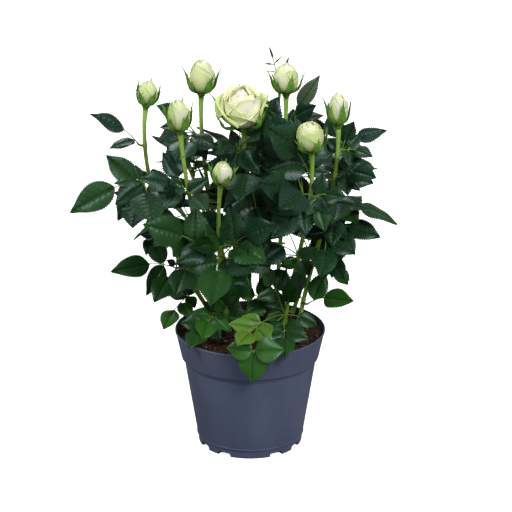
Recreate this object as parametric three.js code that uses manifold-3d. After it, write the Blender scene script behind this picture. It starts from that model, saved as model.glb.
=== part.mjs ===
// A potted patio rose: a nursery pot full of soil, eleven canes, eight blooms and the leafy side shoots.
// Millimetres, +Z up, the origin at the middle of the pot's flat underside, the plant's front towards -Y.
import * as THREE from 'three';
import { mergeVertices } from 'three/addons/utils/BufferGeometryUtils.js';
import Module from 'manifold-3d';

const wasm = await Module();
wasm.setup();

// Driving dimensions
const CLEARANCE = 0.3;
const SHORTEST_EDGE = 0.03;
const NUDGE = 0.02;
const MOST_NUDGES = 12;
const POT_FACETS = 40;
const RIM_RADIUS = 85;
const POT_HEIGHT = 136;
const COLLAR_FOOT = { radius: 77.5, height: 102 };
const BODY_TOP = { radius: 74.3, height: 95 };
const FOOT_RING = { radius: 60.3, height: 10.5 };
const FOOT_LEDGE = 0.6;
const BASE_RADIUS = 59.3;
const WALL = 1.7;
const FLOOR = 8;
const NOTCH = { height: 5, depth: 7, width: 16, angles: [30, 60] };
const SOIL_TOP = 130;
const CANE = { foot: 4.4, flareHeight: 12, low: 2.7, high: 2.1, neck: 3.1, neckShare: 0.08 };
const CANE_SIDES = 6;
const CANE_STEPS = 10;
const STEM = { foot: 1.5, tip: 1.2, steps: 4 };
const RIB = { foot: 0.9, tip: 0.7, steps: 2 };
const LEAFLET = { width: 0.64, thick: 0.03, droop: 0.1, large: 42 };
const PAIRS = [
  { back: 0.4, size: 0.84 },
  { back: 0.95, size: 0.68 },
];
const TRIES = 12;
const TRY_SPREAD = 16;
const END_SHARE = 0.66;
const PAIR_SPREAD = 62;
const PAIR_STEP = 0.012;
const PAIR_FIRST = 0.12;
const VARIED = { spread: 9, turn: 16, endTurn: 8, size: [0.92, 1.05] };
const RISE = 0.1;
const NOD = 0.12;
const STEM_FORM = { shortest: 7, leafReach: 2.05, bow: 0.45, lastNode: 0.9, nodeStep: 0.17 };
const EXTRA = { nodes: [0.3, 0.9], turn: 70, forward: 0.55, rise: 0.25, reach: [1.6, 2.1] };
const SOIL_SKIN = 1;
const GUARD = 0.45;
const HIP = { radius: 4.6, swell: 3, height: 7 };
const PETAL_WAVES = { count: 5, tight: 0.05, open: 0.2 };
const SEPAL = { count: 5, length: [0.7, 0.9], lean: [0.05, 0.6], turn: 0.4, sunk: 2 };
const CROWN = { centre: [-5, 12, 300], radii: [138, 160, 130] };

// The canes as cubic curves from the soil to the flower stalk's top: foot, two bends, tip, and the bloom
// that the tip carries, by its radius, its height and how far it has opened.
const CANES = [
  { curve: [[-41, 44], [-87, 35, 201], [-125, 6, 309], [-113, -10, 394]], bloom: [11.5, 33, 0.1] },
  { curve: [[-12, 64], [-33, 53, 201], [-58, 46, 307], [-54, 36, 395]], bloom: [15, 43, 0.25] },
  { curve: [[-31, 21], [-49, 9, 196], [-69, -31, 297], [-74, -50, 377]], bloom: [12.5, 41, 0.1] },
  { curve: [[0, 62], [-2, 34, 196], [-2, 0, 300], [-7, -24, 376]], bloom: [26, 47, 1] },
  { curve: [[29, 66], [34, 61, 200], [40, 50, 305], [40, 45, 392]], bloom: [15, 39, 0.35] },
  { curve: [[57, 35], [64, 32, 193], [100, 15, 288], [97, 10, 366]], bloom: [11.5, 41, 0.05] },
  { curve: [[39, 28], [45, 13, 191], [72, -32, 285], [66, -55, 357]], bloom: [15.5, 38, 0.5] },
  { curve: [[-25, 4], [-31, -15, 183], [-38, -49, 264], [-31, -75, 327]], bloom: [11, 31, 0.05] },
  { curve: [[-28, 57], [-49, 81, 175], [-44, 95, 243], [-75, 105, 300]] },
  { curve: [[48, 58], [70, 79, 173], [72, 93, 237], [95, 100, 290]] },
  { curve: [[12, 48], [10, 81, 175], [18, 104, 243], [5, 115, 300]] },
];

// The outline of a bloom's petals above its hip: its radius and its height at each ring, as shares of the
// bloom's own, for a tight bud and for an open rose.
const PETAL_RINGS = [
  { radius: [0.78, 0.7], height: [0.16, 0.16] },
  { radius: [1, 1], height: [0.42, 0.58] },
  { radius: [0.86, 0.78], height: [0.75, 0.8] },
  { radius: [0.55, 0.45], height: [0.97, 0.97] },
];

// The leafy side shoots of each cane, from its foot up: the place along the cane, the leaflet length,
// how far the leaves turn their faces to the front, the extra leaves, and the tips of the main leaves.
const SHOOTS = [
  [
    [0.16, 32, 25, 0, [-90, -20, 155], [-130, 0, 150]],
    [0.29, 50, 60, 3, [-145, -20, 213], [-105, -25, 178]],
    [0.45, 42, 40, 3, [-115, -15, 232], [-125, 55, 230]],
    [0.6, 48, 50, 4, [-130, -55, 278], [-140, 60, 290]],
    [0.68, 66, 60, 0, [-200, -18, 283], [-152, -25, 318]],
    [0.84, 50, 35, 0, [-170, -25, 395], [-142, -45, 350]],
  ],
  [
    [0.5, 48, -20, 3, [-85, 105, 285], [-70, -20, 320]],
    [0.84, 48, 30, 4, [-100, 20, 393], [-25, 5, 376], [-97, 30, 330], [-75, 60, 340]],
  ],
  [
    [0.1, 34, 50, 0, [-65, -72, 142], [-52, -60, 150]],
    [0.48, 50, 60, 1, [-80, -78, 255], [-72, -85, 225]],
    [0.58, 54, 60, 3, [-110, -65, 285], [-100, -60, 258], [-50, -30, 280]],
    [0.72, 52, 50, 3, [-115, -60, 332], [-45, -85, 305], [-95, -25, 350]],
  ],
  [
    [0.5, 50, 45, 4, [-20, -45, 285], [35, -20, 300]],
    [0.78, 58, 55, 3, [30, -40, 398], [20, -75, 322], [-10, -95, 325]],
    [0.86, 46, 50, 4, [-30, -75, 373], [-45, 10, 350]],
  ],
  [
    [0.4, 48, 10, 5, [65, 105, 255], [15, 30, 240]],
    [0.7, 54, 30, 4, [70, 110, 335], [75, -5, 360]],
    [0.86, 50, 70, 4, [80, 45, 422], [70, 30, 390], [5, 90, 375]],
    [0.84, 16, 30, 0, [22, 88, 441], [36, 86, 437]],
  ],
  [
    [0.12, 42, 50, 0, [112, -20, 178], [80, -42, 148]],
    [0.38, 48, 60, 3, [105, -20, 203], [115, 60, 215]],
    [0.53, 46, 50, 3, [145, -5, 250], [122, -20, 238]],
    [0.64, 50, 10, 3, [166, 5, 264], [100, -40, 255]],
    [0.77, 52, 45, 1, [135, -30, 325], [150, -5, 337], [140, 70, 315], [105, -20, 330]],
    [0.87, 50, 50, 4, [150, 20, 365], [119, 10, 368], [90, 45, 375]],
  ],
  [
    [0.08, 36, 45, 3, [48, -98, 146], [0, -104, 152], [25, 0, 160]],
    [0.45, 48, 60, 0, [5, -85, 205], [68, -62, 226], [55, -20, 185]],
    [0.72, 60, 60, 3, [15, -92, 335], [25, -92, 280]],
    [0.78, 58, 60, 3, [100, -75, 315], [82, -68, 275]],
    [0.86, 52, 55, 4, [25, -82, 388], [88, -15, 350]],
  ],
  [
    [0.12, 38, 55, 3, [-32, -72, 145], [-15, -40, 185], [-30, -20, 155]],
    [0.55, 54, 65, 0, [-42, -130, 218], [0, -110, 245]],
    [0.64, 50, 55, 1, [20, -105, 257], [-85, -75, 232], [-10, -60, 235]],
  ],
  [
    [0.4, 48, -40, 4, [-105, 130, 205], [-35, 155, 215]],
    [0.9, 52, -30, 2, [-105, 110, 325], [-70, 165, 300], [-50, 90, 350]],
  ],
  [
    [0.4, 48, -40, 4, [125, 125, 205], [65, 155, 210]],
    [0.9, 52, -30, 5, [145, 95, 300], [110, 165, 300]],
  ],
  [
    [0.4, 48, -45, 4, [-5, 165, 195], [35, 150, 225]],
    [0.9, 52, -35, 3, [-5, 188, 280], [50, 165, 320], [5, 130, 360]],
  ],
];

const UP = new THREE.Vector3(0, 0, 1);
const FRONT = new THREE.Vector3(0, -1, 0);
const GOLDEN_ANGLE = 137.5;
const EDGE_REACH = Math.sin(Math.PI / 3);
const vector = (place) => new THREE.Vector3(...place);
const radians = THREE.MathUtils.degToRad;
const mix = THREE.MathUtils.lerp;

// A run of random numbers between 0 and 1 that is the same each time for its seed.
function dice(seed) {
  const modulus = 2147483647;
  let state = (seed * 7919 + 104729) % modulus;
  const roll = () => {
    state = (state * 48271) % modulus;
    return state / modulus;
  };
  roll();
  return roll;
}

// A closed form with rings of the given number of sides: place(x, share, z) carries each point of a unit
// cylinder, whose axis runs with the share from 0 to 1, to where it belongs.
function sweep(sides, steps, place) {
  const geometry = new THREE.CylinderGeometry(1, 1, 1, sides, steps);
  const points = geometry.attributes.position;
  for (let i = 0; i < points.count; i += 1) {
    const spot = place(points.getX(i), points.getY(i) + 0.5, points.getZ(i));
    points.setXYZ(i, spot.x, spot.y, spot.z);
  }
  return welded(geometry);
}

// A geometry with its equal points joined and its collapsed triangles left out.
function welded(geometry) {
  geometry.deleteAttribute('normal');
  geometry.deleteAttribute('uv');
  const joined = mergeVertices(geometry, 1e-3);
  const corners = joined.index.array;
  const kept = [];
  for (let i = 0; i < corners.length; i += 3) {
    const [a, b, c] = corners.slice(i, i + 3);
    if (a !== b && b !== c && c !== a) {
      kept.push(a, b, c);
    }
  }
  joined.setIndex(kept);
  return joined;
}

function solid(geometry) {
  return new wasm.Manifold(new wasm.Mesh({
    numProp: 3,
    vertProperties: new Float32Array(geometry.attributes.position.array),
    triVerts: new Uint32Array(geometry.index.array),
  }));
}

// Whether each edge still joins just two triangles once the corners are rounded.
function staysClosed(body) {
  const { vertProperties, triVerts } = body.getMesh();
  const names = [];
  for (let i = 0; i < vertProperties.length; i += 3) {
    names.push(Array.from(vertProperties.slice(i, i + 3), (value) => value.toFixed(3)).join(' '));
  }
  const uses = new Map();
  for (let i = 0; i < triVerts.length; i += 3) {
    const [a, b, c] = [0, 1, 2].map((k) => names[triVerts[i + k]]);
    if (a !== b && b !== c && c !== a) {
      for (const edge of [[a, b], [b, c], [c, a]]) {
        const key = edge.sort().join('/');
        uses.set(key, (uses.get(key) ?? 0) + 1);
      }
    }
  }
  return [...uses.values()].every((count) => count === 2);
}

// One closed body from geometries that run into each other: edges too short to keep are closed up,
// sealed hollows are filled and scraps dropped. Forms that meet edge on edge are nudged and joined again.
function fused(geometries) {
  for (let attempt = 0; attempt < MOST_NUDGES; attempt += 1) {
    const nudge = (k) => NUDGE * attempt * Math.sin(k + 1);
    const nudged = geometries.map((form, k) => form.clone().translate(0, 0, nudge(k)));
    const bodies = wasm.Manifold.union(nudged.map(solid)).simplify(SHORTEST_EDGE).decompose();
    bodies.sort((a, b) => b.volume() - a.volume());
    if (staysClosed(bodies[0])) {
      return bodies[0];
    }
  }
  throw new Error('the forms meet edge on edge');
}

function geometryOf(body) {
  const found = body.getMesh();
  const geometry = new THREE.BufferGeometry();
  geometry.setAttribute('position', new THREE.BufferAttribute(found.vertProperties, 3));
  geometry.setIndex(new THREE.BufferAttribute(found.triVerts, 1));
  geometry.computeVertexNormals();
  return geometry;
}

// Canes

const caneCurves = CANES.map(({ curve: [foot, low, high, tip] }) => new THREE.CubicBezierCurve3(
  vector([...foot, SOIL_TOP + CLEARANCE]),
  vector(low),
  vector(high),
  vector(tip),
));

function caneRadius(share, blooms) {
  const rise = share * (POT_HEIGHT + RIM_RADIUS);
  const flare = Math.max(0, 1 - rise / CANE.flareHeight);
  const neck = blooms ? Math.max(0, 1 - (1 - share) / CANE.neckShare) : 0;
  const plain = mix(CANE.low, blooms ? CANE.high : STEM.foot, share);
  return plain + (CANE.foot - CANE.low) * flare * flare + (CANE.neck - CANE.high) * neck;
}

// Ring places along a cane, closer together at its flared foot and at its neck.
const CANE_SHARES = Array.from(
  { length: CANE_STEPS + 1 },
  (_, k) => (1 - Math.cos((Math.PI * k) / CANE_STEPS)) / 2,
);

// A limb along a curve with a ring at each share, and a flat level foot where it stands on the soil.
function limb(curve, radiusAt, sides, shares) {
  const chord = curve.getPoint(1).sub(curve.getPoint(0)).normalize();
  const reference = Math.abs(chord.z) > 0.8 ? FRONT : UP;
  const last = shares.length - 1;
  return sweep(sides, last, (x, along, z) => {
    const share = shares[Math.round(along * last)];
    const tangent = share === 0 && reference === FRONT ? UP : curve.getTangent(share);
    const side = tangent.clone().cross(reference).normalize();
    const face = side.clone().cross(tangent);
    const radius = radiusAt(share);
    return curve.getPoint(share).addScaledVector(side, x * radius).addScaledVector(face, z * radius);
  });
}

// Leaves

// A closed blade or twig of three sides through its rings: each has its middle, its side and face
// directions, its half width and its height. A ring of no width or height closes to a line or a point.
function bladeThrough(rings) {
  const last = rings.length - 1;
  return sweep(3, last, (x, share, z) => {
    const { at, side, face, half, deep } = rings[Math.round(share * last)];
    return at.clone().addScaledVector(side, (x * half) / EDGE_REACH).addScaledVector(face, z * deep);
  });
}

function twigRings({ curve, from, to, steps, hint }, swell = 0) {
  return Array.from({ length: steps + 1 }, (_, k) => {
    const share = k / steps;
    const tangent = curve.getTangent(share);
    const face = squaredTo(tangent, hint);
    const radius = mix(from, to, share) + swell;
    return { at: curve.getPoint(share), side: tangent.cross(face), face, half: radius, deep: radius };
  });
}

// The rings of a pointed oval leaflet; a small one has a single widest ring.
function leafletRings({ foot, way, face, size }, swell = 0) {
  const stations = size > LEAFLET.large ? [[0.3, 0.92, 1], [0.68, 0.8, 0.9]] : [[0.42, 0.96, 1]];
  const side = way.clone().cross(face);
  return [[0, 0, 0.7], ...stations, [1, 0, 0]].map(([along, wide, thick]) => ({
    at: foot.clone()
      .addScaledVector(way, along * size + (along === 1 ? swell : 0))
      .addScaledVector(face, -LEAFLET.droop * size * along ** 2),
    side,
    face,
    half: (wide * size * LEAFLET.width) / 2 + (wide ? swell : 0),
    deep: (thick * size * LEAFLET.thick) / 1.5 + swell,
  }));
}

function squaredTo(way, hint) {
  return hint.clone().addScaledVector(way, -hint.dot(way)).normalize();
}

// A leaf on its stalk: leaflets in pairs along the rib and one at the tip.
function compoundLeaf(node, tip, leaflet, hint, roll) {
  const reach = node.distanceTo(tip);
  const size = Math.min(leaflet, reach * END_SHARE);
  const way = tip.clone().sub(node).normalize();
  const endWay = way.clone().addScaledVector(UP, -NOD).normalize();
  const end = tip.clone().addScaledVector(endWay, -size);
  const ribLength = node.distanceTo(end);
  const bend = node.clone().lerp(end, 0.5).addScaledVector(UP, ribLength * RISE);
  const curve = new THREE.QuadraticBezierCurve3(node, bend, end);
  const leaflets = [];
  const add = (foot, heading, length, turn) => {
    const face = squaredTo(heading, hint).applyAxisAngle(heading, radians(turn));
    leaflets.push({ foot, way: heading, face, size: length });
  };
  add(end, endWay, size, mix(-VARIED.endTurn, VARIED.endTurn, roll()));
  for (const pair of PAIRS) {
    const share = 1 - (pair.back * size) / ribLength;
    for (const hand of [1, -1]) {
      const [spread, length, turn] = [roll(), roll(), roll()];
      if (share > PAIR_FIRST) {
        const tangent = curve.getTangent(share);
        const face = squaredTo(tangent, hint);
        const side = tangent.clone().cross(face).multiplyScalar(hand);
        const angle = radians(PAIR_SPREAD + mix(-VARIED.spread, VARIED.spread, spread));
        const heading = tangent.multiplyScalar(Math.cos(angle)).addScaledVector(side, Math.sin(angle));
        heading.addScaledVector(face, -LEAFLET.droop).normalize();
        const foot = curve.getPoint(share + hand * PAIR_STEP);
        const pairSize = size * pair.size * mix(...VARIED.size, length);
        add(foot, heading, pairSize, mix(-VARIED.turn, VARIED.turn, turn));
      }
    }
  }
  return { rib: { curve, from: RIB.foot, to: RIB.tip, steps: RIB.steps, hint }, leaflets };
}

// What a new twig or leaf must stay clear of: skins a little larger than what they stand for.
const guards = [];

function guard(geometry) {
  const points = geometry.attributes.position;
  const corners = geometry.index.array;
  const triangles = [];
  for (let i = 0; i < corners.length; i += 3) {
    triangles.push([0, 1, 2].map((k) => new THREE.Vector3().fromBufferAttribute(points, corners[i + k])));
  }
  const box = new THREE.Box3().setFromBufferAttribute(points);
  return { triangles, box };
}

function pierces(skin, other) {
  const ray = new THREE.Ray();
  const hit = new THREE.Vector3();
  return skin.triangles.some((corners) => corners.some((start, k) => {
    const end = corners[(k + 1) % 3];
    ray.origin.copy(start);
    ray.direction.copy(end).sub(start).normalize();
    const length = start.distanceTo(end);
    return other.triangles.some(([a, b, c]) => (
      ray.intersectTriangle(a, b, c, false, hit) && hit.distanceTo(start) <= length
    ));
  }));
}

function isClear(skin, besides) {
  const near = guards.filter((other) => !besides.includes(other) && skin.box.intersectsBox(other.box));
  return !near.some((other) => pierces(skin, other) || pierces(other, skin));
}

function potGuard() {
  const outline = [
    [0, SOIL_TOP + SOIL_SKIN],
    [RIM_RADIUS - WALL - 2 * SOIL_SKIN, SOIL_TOP + SOIL_SKIN],
    [RIM_RADIUS - WALL - SOIL_SKIN, POT_HEIGHT + SOIL_SKIN],
    [RIM_RADIUS + SOIL_SKIN, POT_HEIGHT + SOIL_SKIN],
    [COLLAR_FOOT.radius + SOIL_SKIN, COLLAR_FOOT.height],
    [BODY_TOP.radius + SOIL_SKIN, BODY_TOP.height],
    [FOOT_RING.radius + FOOT_LEDGE + SOIL_SKIN, 0],
  ];
  const points = outline.map(([radius, height]) => new THREE.Vector2(radius, height));
  return guard(welded(new THREE.LatheGeometry(points, 24).rotateX(Math.PI / 2)));
}

function bloomGuard(curve, [radius, height]) {
  const axis = curve.getTangent(1);
  const foot = curve.getPoint(1);
  const line = new THREE.LineCurve3(foot, foot.clone().addScaledVector(axis, height + 5));
  const radiusAt = (share) => radius * (0.5 + 0.7 * Math.sin(Math.PI * (0.1 + 0.7 * share)));
  return guard(limb(line, radiusAt, 8, [0, 0.25, 0.5, 0.75, 1]));
}

// A side shoot: its stem leaves the cane square to it, bends up in the plane that the two share, and carries
// the leaves that its row names.
function startShoot(row, caneNumber, index) {
  const [share, leaflet, turn, extra, ...tips] = row;
  const cane = caneCurves[caneNumber];
  const roll = dice(caneNumber * 100 + index * 10 + 7);
  const middle = new THREE.Vector3();
  tips.forEach((tip) => middle.addScaledVector(vector(tip), 1 / tips.length));
  const onCane = cane.getPoint(share);
  const caneWay = cane.getTangent(share);
  const away = squaredTo(caneWay, middle.clone().sub(onCane));
  const start = onCane.addScaledVector(away, caneRadius(share, CANES[caneNumber].bloom) + CLEARANCE);
  const reach = start.distanceTo(middle);
  const nearest = Math.min(...tips.map((tip) => start.distanceTo(vector(tip))));
  const stemLength = Math.max(STEM_FORM.shortest, nearest - STEM_FORM.leafReach * leaflet);
  const end = start.clone().lerp(middle, stemLength / reach);
  const bend = start.clone().addScaledVector(away, stemLength * STEM_FORM.bow);
  const curve = new THREE.QuadraticBezierCurve3(start, bend, end);
  const angle = radians(turn);
  const hint = UP.clone().multiplyScalar(Math.cos(angle)).addScaledVector(FRONT, Math.sin(angle));
  const across = away.clone().cross(caneWay);
  const stem = { curve, from: STEM.foot, to: STEM.tip, steps: STEM.steps, hint: across };
  const stemSkin = guard(bladeThrough(twigRings(stem, GUARD)));
  guards.push(stemSkin);
  const name = `leaves_${caneNumber + 1}_${'abcdefgh'[index]}`;
  return { name, stem, leaves: [], own: [stemSkin], tips, extra, leaflet, hint, roll };
}

// The best of a few leaves that reach near the same tip is kept, with the leaflets that stay clear.
function addLeaf(shoot, node, tip) {
  let best = { leaflets: [] };
  for (let attempt = 0; attempt < TRIES; attempt += 1) {
    const shift = new THREE.Vector3(shoot.roll(), shoot.roll(), shoot.roll()).subScalar(0.5);
    const aim = tip.clone().addScaledVector(shift, (attempt * 2 * TRY_SPREAD) / TRIES);
    const leaf = compoundLeaf(node, aim, shoot.leaflet, shoot.hint, shoot.roll);
    const ribSkin = guard(bladeThrough(twigRings(leaf.rib, GUARD)));
    if (isClear(ribSkin, shoot.own)) {
      const skins = leaf.leaflets.map((leaflet) => guard(bladeThrough(leafletRings(leaflet, GUARD))));
      const fits = skins.map((skin) => isClear(skin, []));
      const leaflets = leaf.leaflets.filter((_, k) => fits[k]);
      if (fits[0] && leaflets.length > best.leaflets.length) {
        best = { rib: leaf.rib, leaflets, ribSkin, skins: skins.filter((_, k) => fits[k]) };
      }
    }
  }
  if (best.leaflets.length > 0) {
    guards.push(best.ribSkin, ...best.skins);
    shoot.own.push(best.ribSkin);
    shoot.leaves.push(best);
  }
}

// An extra leaf leaves the stem by the golden angle and keeps inside the crown.
function addExtraLeaf(shoot, number) {
  const { curve } = shoot.stem;
  const share = mix(...EXTRA.nodes, (number + 0.5) / shoot.extra);
  const node = curve.getPoint(share);
  const tangent = curve.getTangent(share);
  const turn = radians(EXTRA.turn + GOLDEN_ANGLE * number);
  const side = squaredTo(tangent, shoot.hint).applyAxisAngle(tangent, turn);
  const way = tangent.multiplyScalar(EXTRA.forward).add(side).addScaledVector(UP, EXTRA.rise).normalize();
  const tip = node.clone().addScaledVector(way, shoot.leaflet * mix(...EXTRA.reach, shoot.roll()));
  const inside = tip.clone().sub(vector(CROWN.centre)).divide(vector(CROWN.radii)).length() < 1;
  if (inside) {
    addLeaf(shoot, node, tip);
  }
}

function growShoots() {
  guards.push(potGuard());
  caneCurves.forEach((curve, number) => {
    const radiusAt = (share) => caneRadius(share, CANES[number].bloom) + GUARD;
    CANE_SHARES.slice(1).forEach((share, k) => {
      guards.push(guard(limb(curve, radiusAt, 6, [CANE_SHARES[k], share])));
    });
    if (CANES[number].bloom) {
      guards.push(bloomGuard(curve, CANES[number].bloom));
    }
  });
  const shoots = SHOOTS.flatMap((rows, number) => rows.map((row, index) => startShoot(row, number, index)));
  for (const shoot of shoots) {
    shoot.tips.forEach((tip, number) => {
      const share = STEM_FORM.lastNode - STEM_FORM.nodeStep * number;
      addLeaf(shoot, shoot.stem.curve.getPoint(share), vector(tip));
    });
  }
  for (const shoot of shoots) {
    for (let number = 0; number < shoot.extra; number += 1) {
      addExtraLeaf(shoot, number);
    }
  }
  return shoots;
}

// The stem with its leaves: each rib runs on into its end leaflet, and starts inside the stem.
function shootForm({ stem, leaves }) {
  const forms = leaves.flatMap(({ rib, leaflets: [terminal, ...pairs] }) => [
    bladeThrough([...twigRings(rib), ...leafletRings(terminal).slice(1)]),
    ...pairs.map((leaflet) => bladeThrough(leafletRings(leaflet))),
  ]);
  return fused([bladeThrough(twigRings(stem)), ...forms]);
}

// Blooms

// Petals wrapped into a bud or an open rose on the green hip, with the sepals round it, built upright.
function bloomForm([radius, height, open], roll) {
  const body = height - HIP.height;
  const shape = [
    [0, 0],
    [CANE.neck, 0],
    [HIP.radius, HIP.swell],
    [HIP.radius, HIP.height],
    ...PETAL_RINGS.map((ring) => [
      radius * mix(...ring.radius, open),
      HIP.height + body * mix(...ring.height, open),
    ]),
    [0, height],
  ];
  const points = shape.map(([r, z]) => new THREE.Vector2(r, z));
  const petals = new THREE.LatheGeometry(points, 2 * PETAL_WAVES.count).rotateX(Math.PI / 2);
  const spots = petals.attributes.position;
  for (let i = 0; i < spots.count; i += 1) {
    const angle = Math.atan2(spots.getY(i), spots.getX(i));
    const above = Math.max(0, (spots.getZ(i) - HIP.height) / body);
    const depth = mix(PETAL_WAVES.tight, PETAL_WAVES.open, open);
    const wave = 1 + above * depth * Math.cos(PETAL_WAVES.count * angle);
    spots.setXY(i, spots.getX(i) * wave, spots.getY(i) * wave);
  }
  const sepalLength = body * mix(...SEPAL.length, roll());
  const sepals = Array.from({ length: SEPAL.count }, (_, k) => {
    const angle = (k / SEPAL.count) * 2 * Math.PI + roll() * SEPAL.turn;
    return sepalForm(radius, sepalLength, angle, radius * mix(...SEPAL.lean, roll()));
  });
  return fused([welded(petals), ...sepals]);
}

// A sepal through four rings, from inside the hip round the petals' foot to its pointed tip.
function sepalForm(radius, length, angle, lean) {
  const out = new THREE.Vector3(Math.cos(angle), Math.sin(angle), 0);
  const rings = [
    { reach: HIP.radius - SEPAL.sunk, rise: -SEPAL.sunk, half: 0, deep: 0.5 },
    { reach: radius, rise: length * 0.12, half: 3.2, deep: 0.35 },
    { reach: radius * 1.12 + 1, rise: length * 0.5, half: 2.8, deep: 0.35 },
    { reach: radius * 1.12 + lean, rise: length, half: 0, deep: 0 },
  ];
  return bladeThrough(rings.map(({ reach, rise, half, deep }) => ({
    at: new THREE.Vector3(out.x * reach, out.y * reach, HIP.height + rise),
    side: UP.clone().cross(out),
    face: out.clone(),
    half,
    deep,
  })));
}

// Pot and soil

function turned(outline) {
  const points = outline.map(([radius, height]) => new THREE.Vector2(radius, height));
  return welded(new THREE.LatheGeometry(points, POT_FACETS).rotateX(Math.PI / 2));
}

const INNER = [
  [RIM_RADIUS - WALL, POT_HEIGHT],
  [COLLAR_FOOT.radius - WALL, COLLAR_FOOT.height + 1],
  [BODY_TOP.radius - WALL, BODY_TOP.height + 0.5],
  [FOOT_RING.radius - WALL - 0.4, FLOOR],
];

function potForm() {
  const body = solid(turned([
    [0, 0],
    [BASE_RADIUS, 0],
    [FOOT_RING.radius, FOOT_RING.height],
    [FOOT_RING.radius + FOOT_LEDGE, FOOT_RING.height + FOOT_LEDGE],
    [BODY_TOP.radius, BODY_TOP.height],
    [COLLAR_FOOT.radius, COLLAR_FOOT.height],
    [RIM_RADIUS, POT_HEIGHT],
    ...INNER,
    [0, FLOOR],
  ]));
  const notches = [0, 90, 180, 270].flatMap((quarter) => NOTCH.angles.map((angle) => {
    const box = new THREE.BoxGeometry(2 * NOTCH.depth, NOTCH.width, 2 * NOTCH.height);
    box.translate(BASE_RADIUS, 0, 0).rotateZ(radians(quarter + angle));
    return solid(welded(box));
  }));
  return body.subtract(wasm.Manifold.union(notches));
}

function soilForm() {
  const [rim, collar, top, low] = INNER;
  const share = (POT_HEIGHT - SOIL_TOP) / (rim[1] - collar[1]);
  const edge = mix(rim[0], collar[0], share);
  return solid(turned([
    [0, FLOOR + CLEARANCE],
    [low[0] - CLEARANCE, FLOOR + CLEARANCE],
    [top[0] - CLEARANCE, top[1]],
    [collar[0] - CLEARANCE, collar[1] + CLEARANCE],
    [edge - CLEARANCE, SOIL_TOP],
    [0, SOIL_TOP],
  ]));
}

// Assembly

const material = (color, roughness) => new THREE.MeshStandardMaterial({ color, roughness, metalness: 0 });
const FINISH = {
  pot: material(0x484d61, 0.5),
  soil: material(0x281912, 1),
  cane: material(0x7da541, 0.5),
  leaves: material(0x234a26, 0.4),
  bloom: material(0xe1e6b9, 0.6),
};

const rose = new THREE.Group();

function place(name, body, finish) {
  const mesh = new THREE.Mesh(geometryOf(body), finish.clone());
  mesh.name = name;
  rose.add(mesh);
  return mesh;
}

place('pot', potForm(), FINISH.pot);
place('soil', soilForm(), FINISH.soil);

caneCurves.forEach((curve, number) => {
  const { bloom } = CANES[number];
  const radiusAt = (share) => caneRadius(share, bloom);
  const form = limb(curve, radiusAt, CANE_SIDES, CANE_SHARES);
  place(`cane_${number + 1}`, solid(form), FINISH.cane);
  if (bloom) {
    const axis = curve.getTangent(1);
    const flower = place(`bloom_${number + 1}`, bloomForm(bloom, dice(number + 50)), FINISH.bloom);
    flower.position.copy(curve.getPoint(1)).addScaledVector(axis, CLEARANCE);
    flower.quaternion.setFromUnitVectors(UP, axis);
  }
});

for (const shoot of growShoots()) {
  place(shoot.name, shootForm(shoot), FINISH.leaves);
}

export default rose;
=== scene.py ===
import itertools
import math

import bpy
import numpy as np
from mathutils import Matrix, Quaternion, Vector, noise
from mathutils.bvhtree import BVHTree


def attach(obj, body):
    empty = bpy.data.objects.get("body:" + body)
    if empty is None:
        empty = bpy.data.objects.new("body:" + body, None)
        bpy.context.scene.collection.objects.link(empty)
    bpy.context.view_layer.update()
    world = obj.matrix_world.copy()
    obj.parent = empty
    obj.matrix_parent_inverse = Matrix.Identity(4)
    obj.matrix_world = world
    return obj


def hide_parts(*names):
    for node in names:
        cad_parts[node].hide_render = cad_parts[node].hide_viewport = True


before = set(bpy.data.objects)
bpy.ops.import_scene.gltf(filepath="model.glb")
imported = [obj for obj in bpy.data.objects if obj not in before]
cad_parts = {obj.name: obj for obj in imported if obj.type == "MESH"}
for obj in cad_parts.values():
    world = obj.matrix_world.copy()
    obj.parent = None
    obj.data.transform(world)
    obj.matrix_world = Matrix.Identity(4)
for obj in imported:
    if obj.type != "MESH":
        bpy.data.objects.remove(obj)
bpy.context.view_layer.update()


# Studio: a white floor that is lit through from below, two soft boxes in front, one behind and a softly lit
# room, with the camera a little above the plant and looking down at it.
SOFT_BOXES = {
    "key": {"place": (1.1, -1.6, 1.9), "size": 0.8, "watts": 42},
    "fill": {"place": (-1.4, -1.0, 2.0), "size": 0.6, "watts": 29},
    "back": {"place": (-0.2, 1.6, 2.1), "size": 0.8, "watts": 20},
}
LIT_SPOT = Vector((0, 0, 0.25))
WHITE = (1, 1, 1, 1)


def deselect():
    if bpy.context.object and bpy.context.object.mode != "OBJECT":
        bpy.ops.object.mode_set(mode="OBJECT")
    bpy.ops.object.select_all(action="DESELECT")


def paint(red, green, blue):
    """A paint's screen values from 0 to 255 as the linear colour that a shader takes."""
    linear = [((v / 255 + 0.055) / 1.055) ** 2.4 if v > 10 else v / 3294 for v in (red, green, blue)]
    return (*linear, 1)


def bare_material(name, roughness, **sockets):
    """A material whose even values are set on the shader itself; sockets are named with _ for a space."""
    material = bpy.data.materials.new(name)
    material.use_nodes = True
    shader = material.node_tree.nodes["Principled BSDF"]
    shader.inputs["Roughness"].default_value = roughness
    for socket, value in sockets.items():
        shader.inputs[socket.replace("_", " ")].default_value = value
    return material


deselect()
bpy.ops.object.camera_add(location=(0.0066, -2.0, 0.93), rotation=(math.radians(70.5), 0, 0))
camera = bpy.context.object
camera.data.lens = 133.45
camera.data.sensor_width = 36
bpy.context.scene.camera = camera

for name, box in SOFT_BOXES.items():
    place = Vector(box["place"])
    aim = (LIT_SPOT - place).to_track_quat("-Z", "Y").to_euler()
    bpy.ops.object.light_add(type="AREA", location=place, rotation=aim)
    lamp = bpy.context.object
    lamp.name = f"soft_box_{name}"
    lamp.data.size = box["size"]
    lamp.data.energy = box["watts"]

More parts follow.
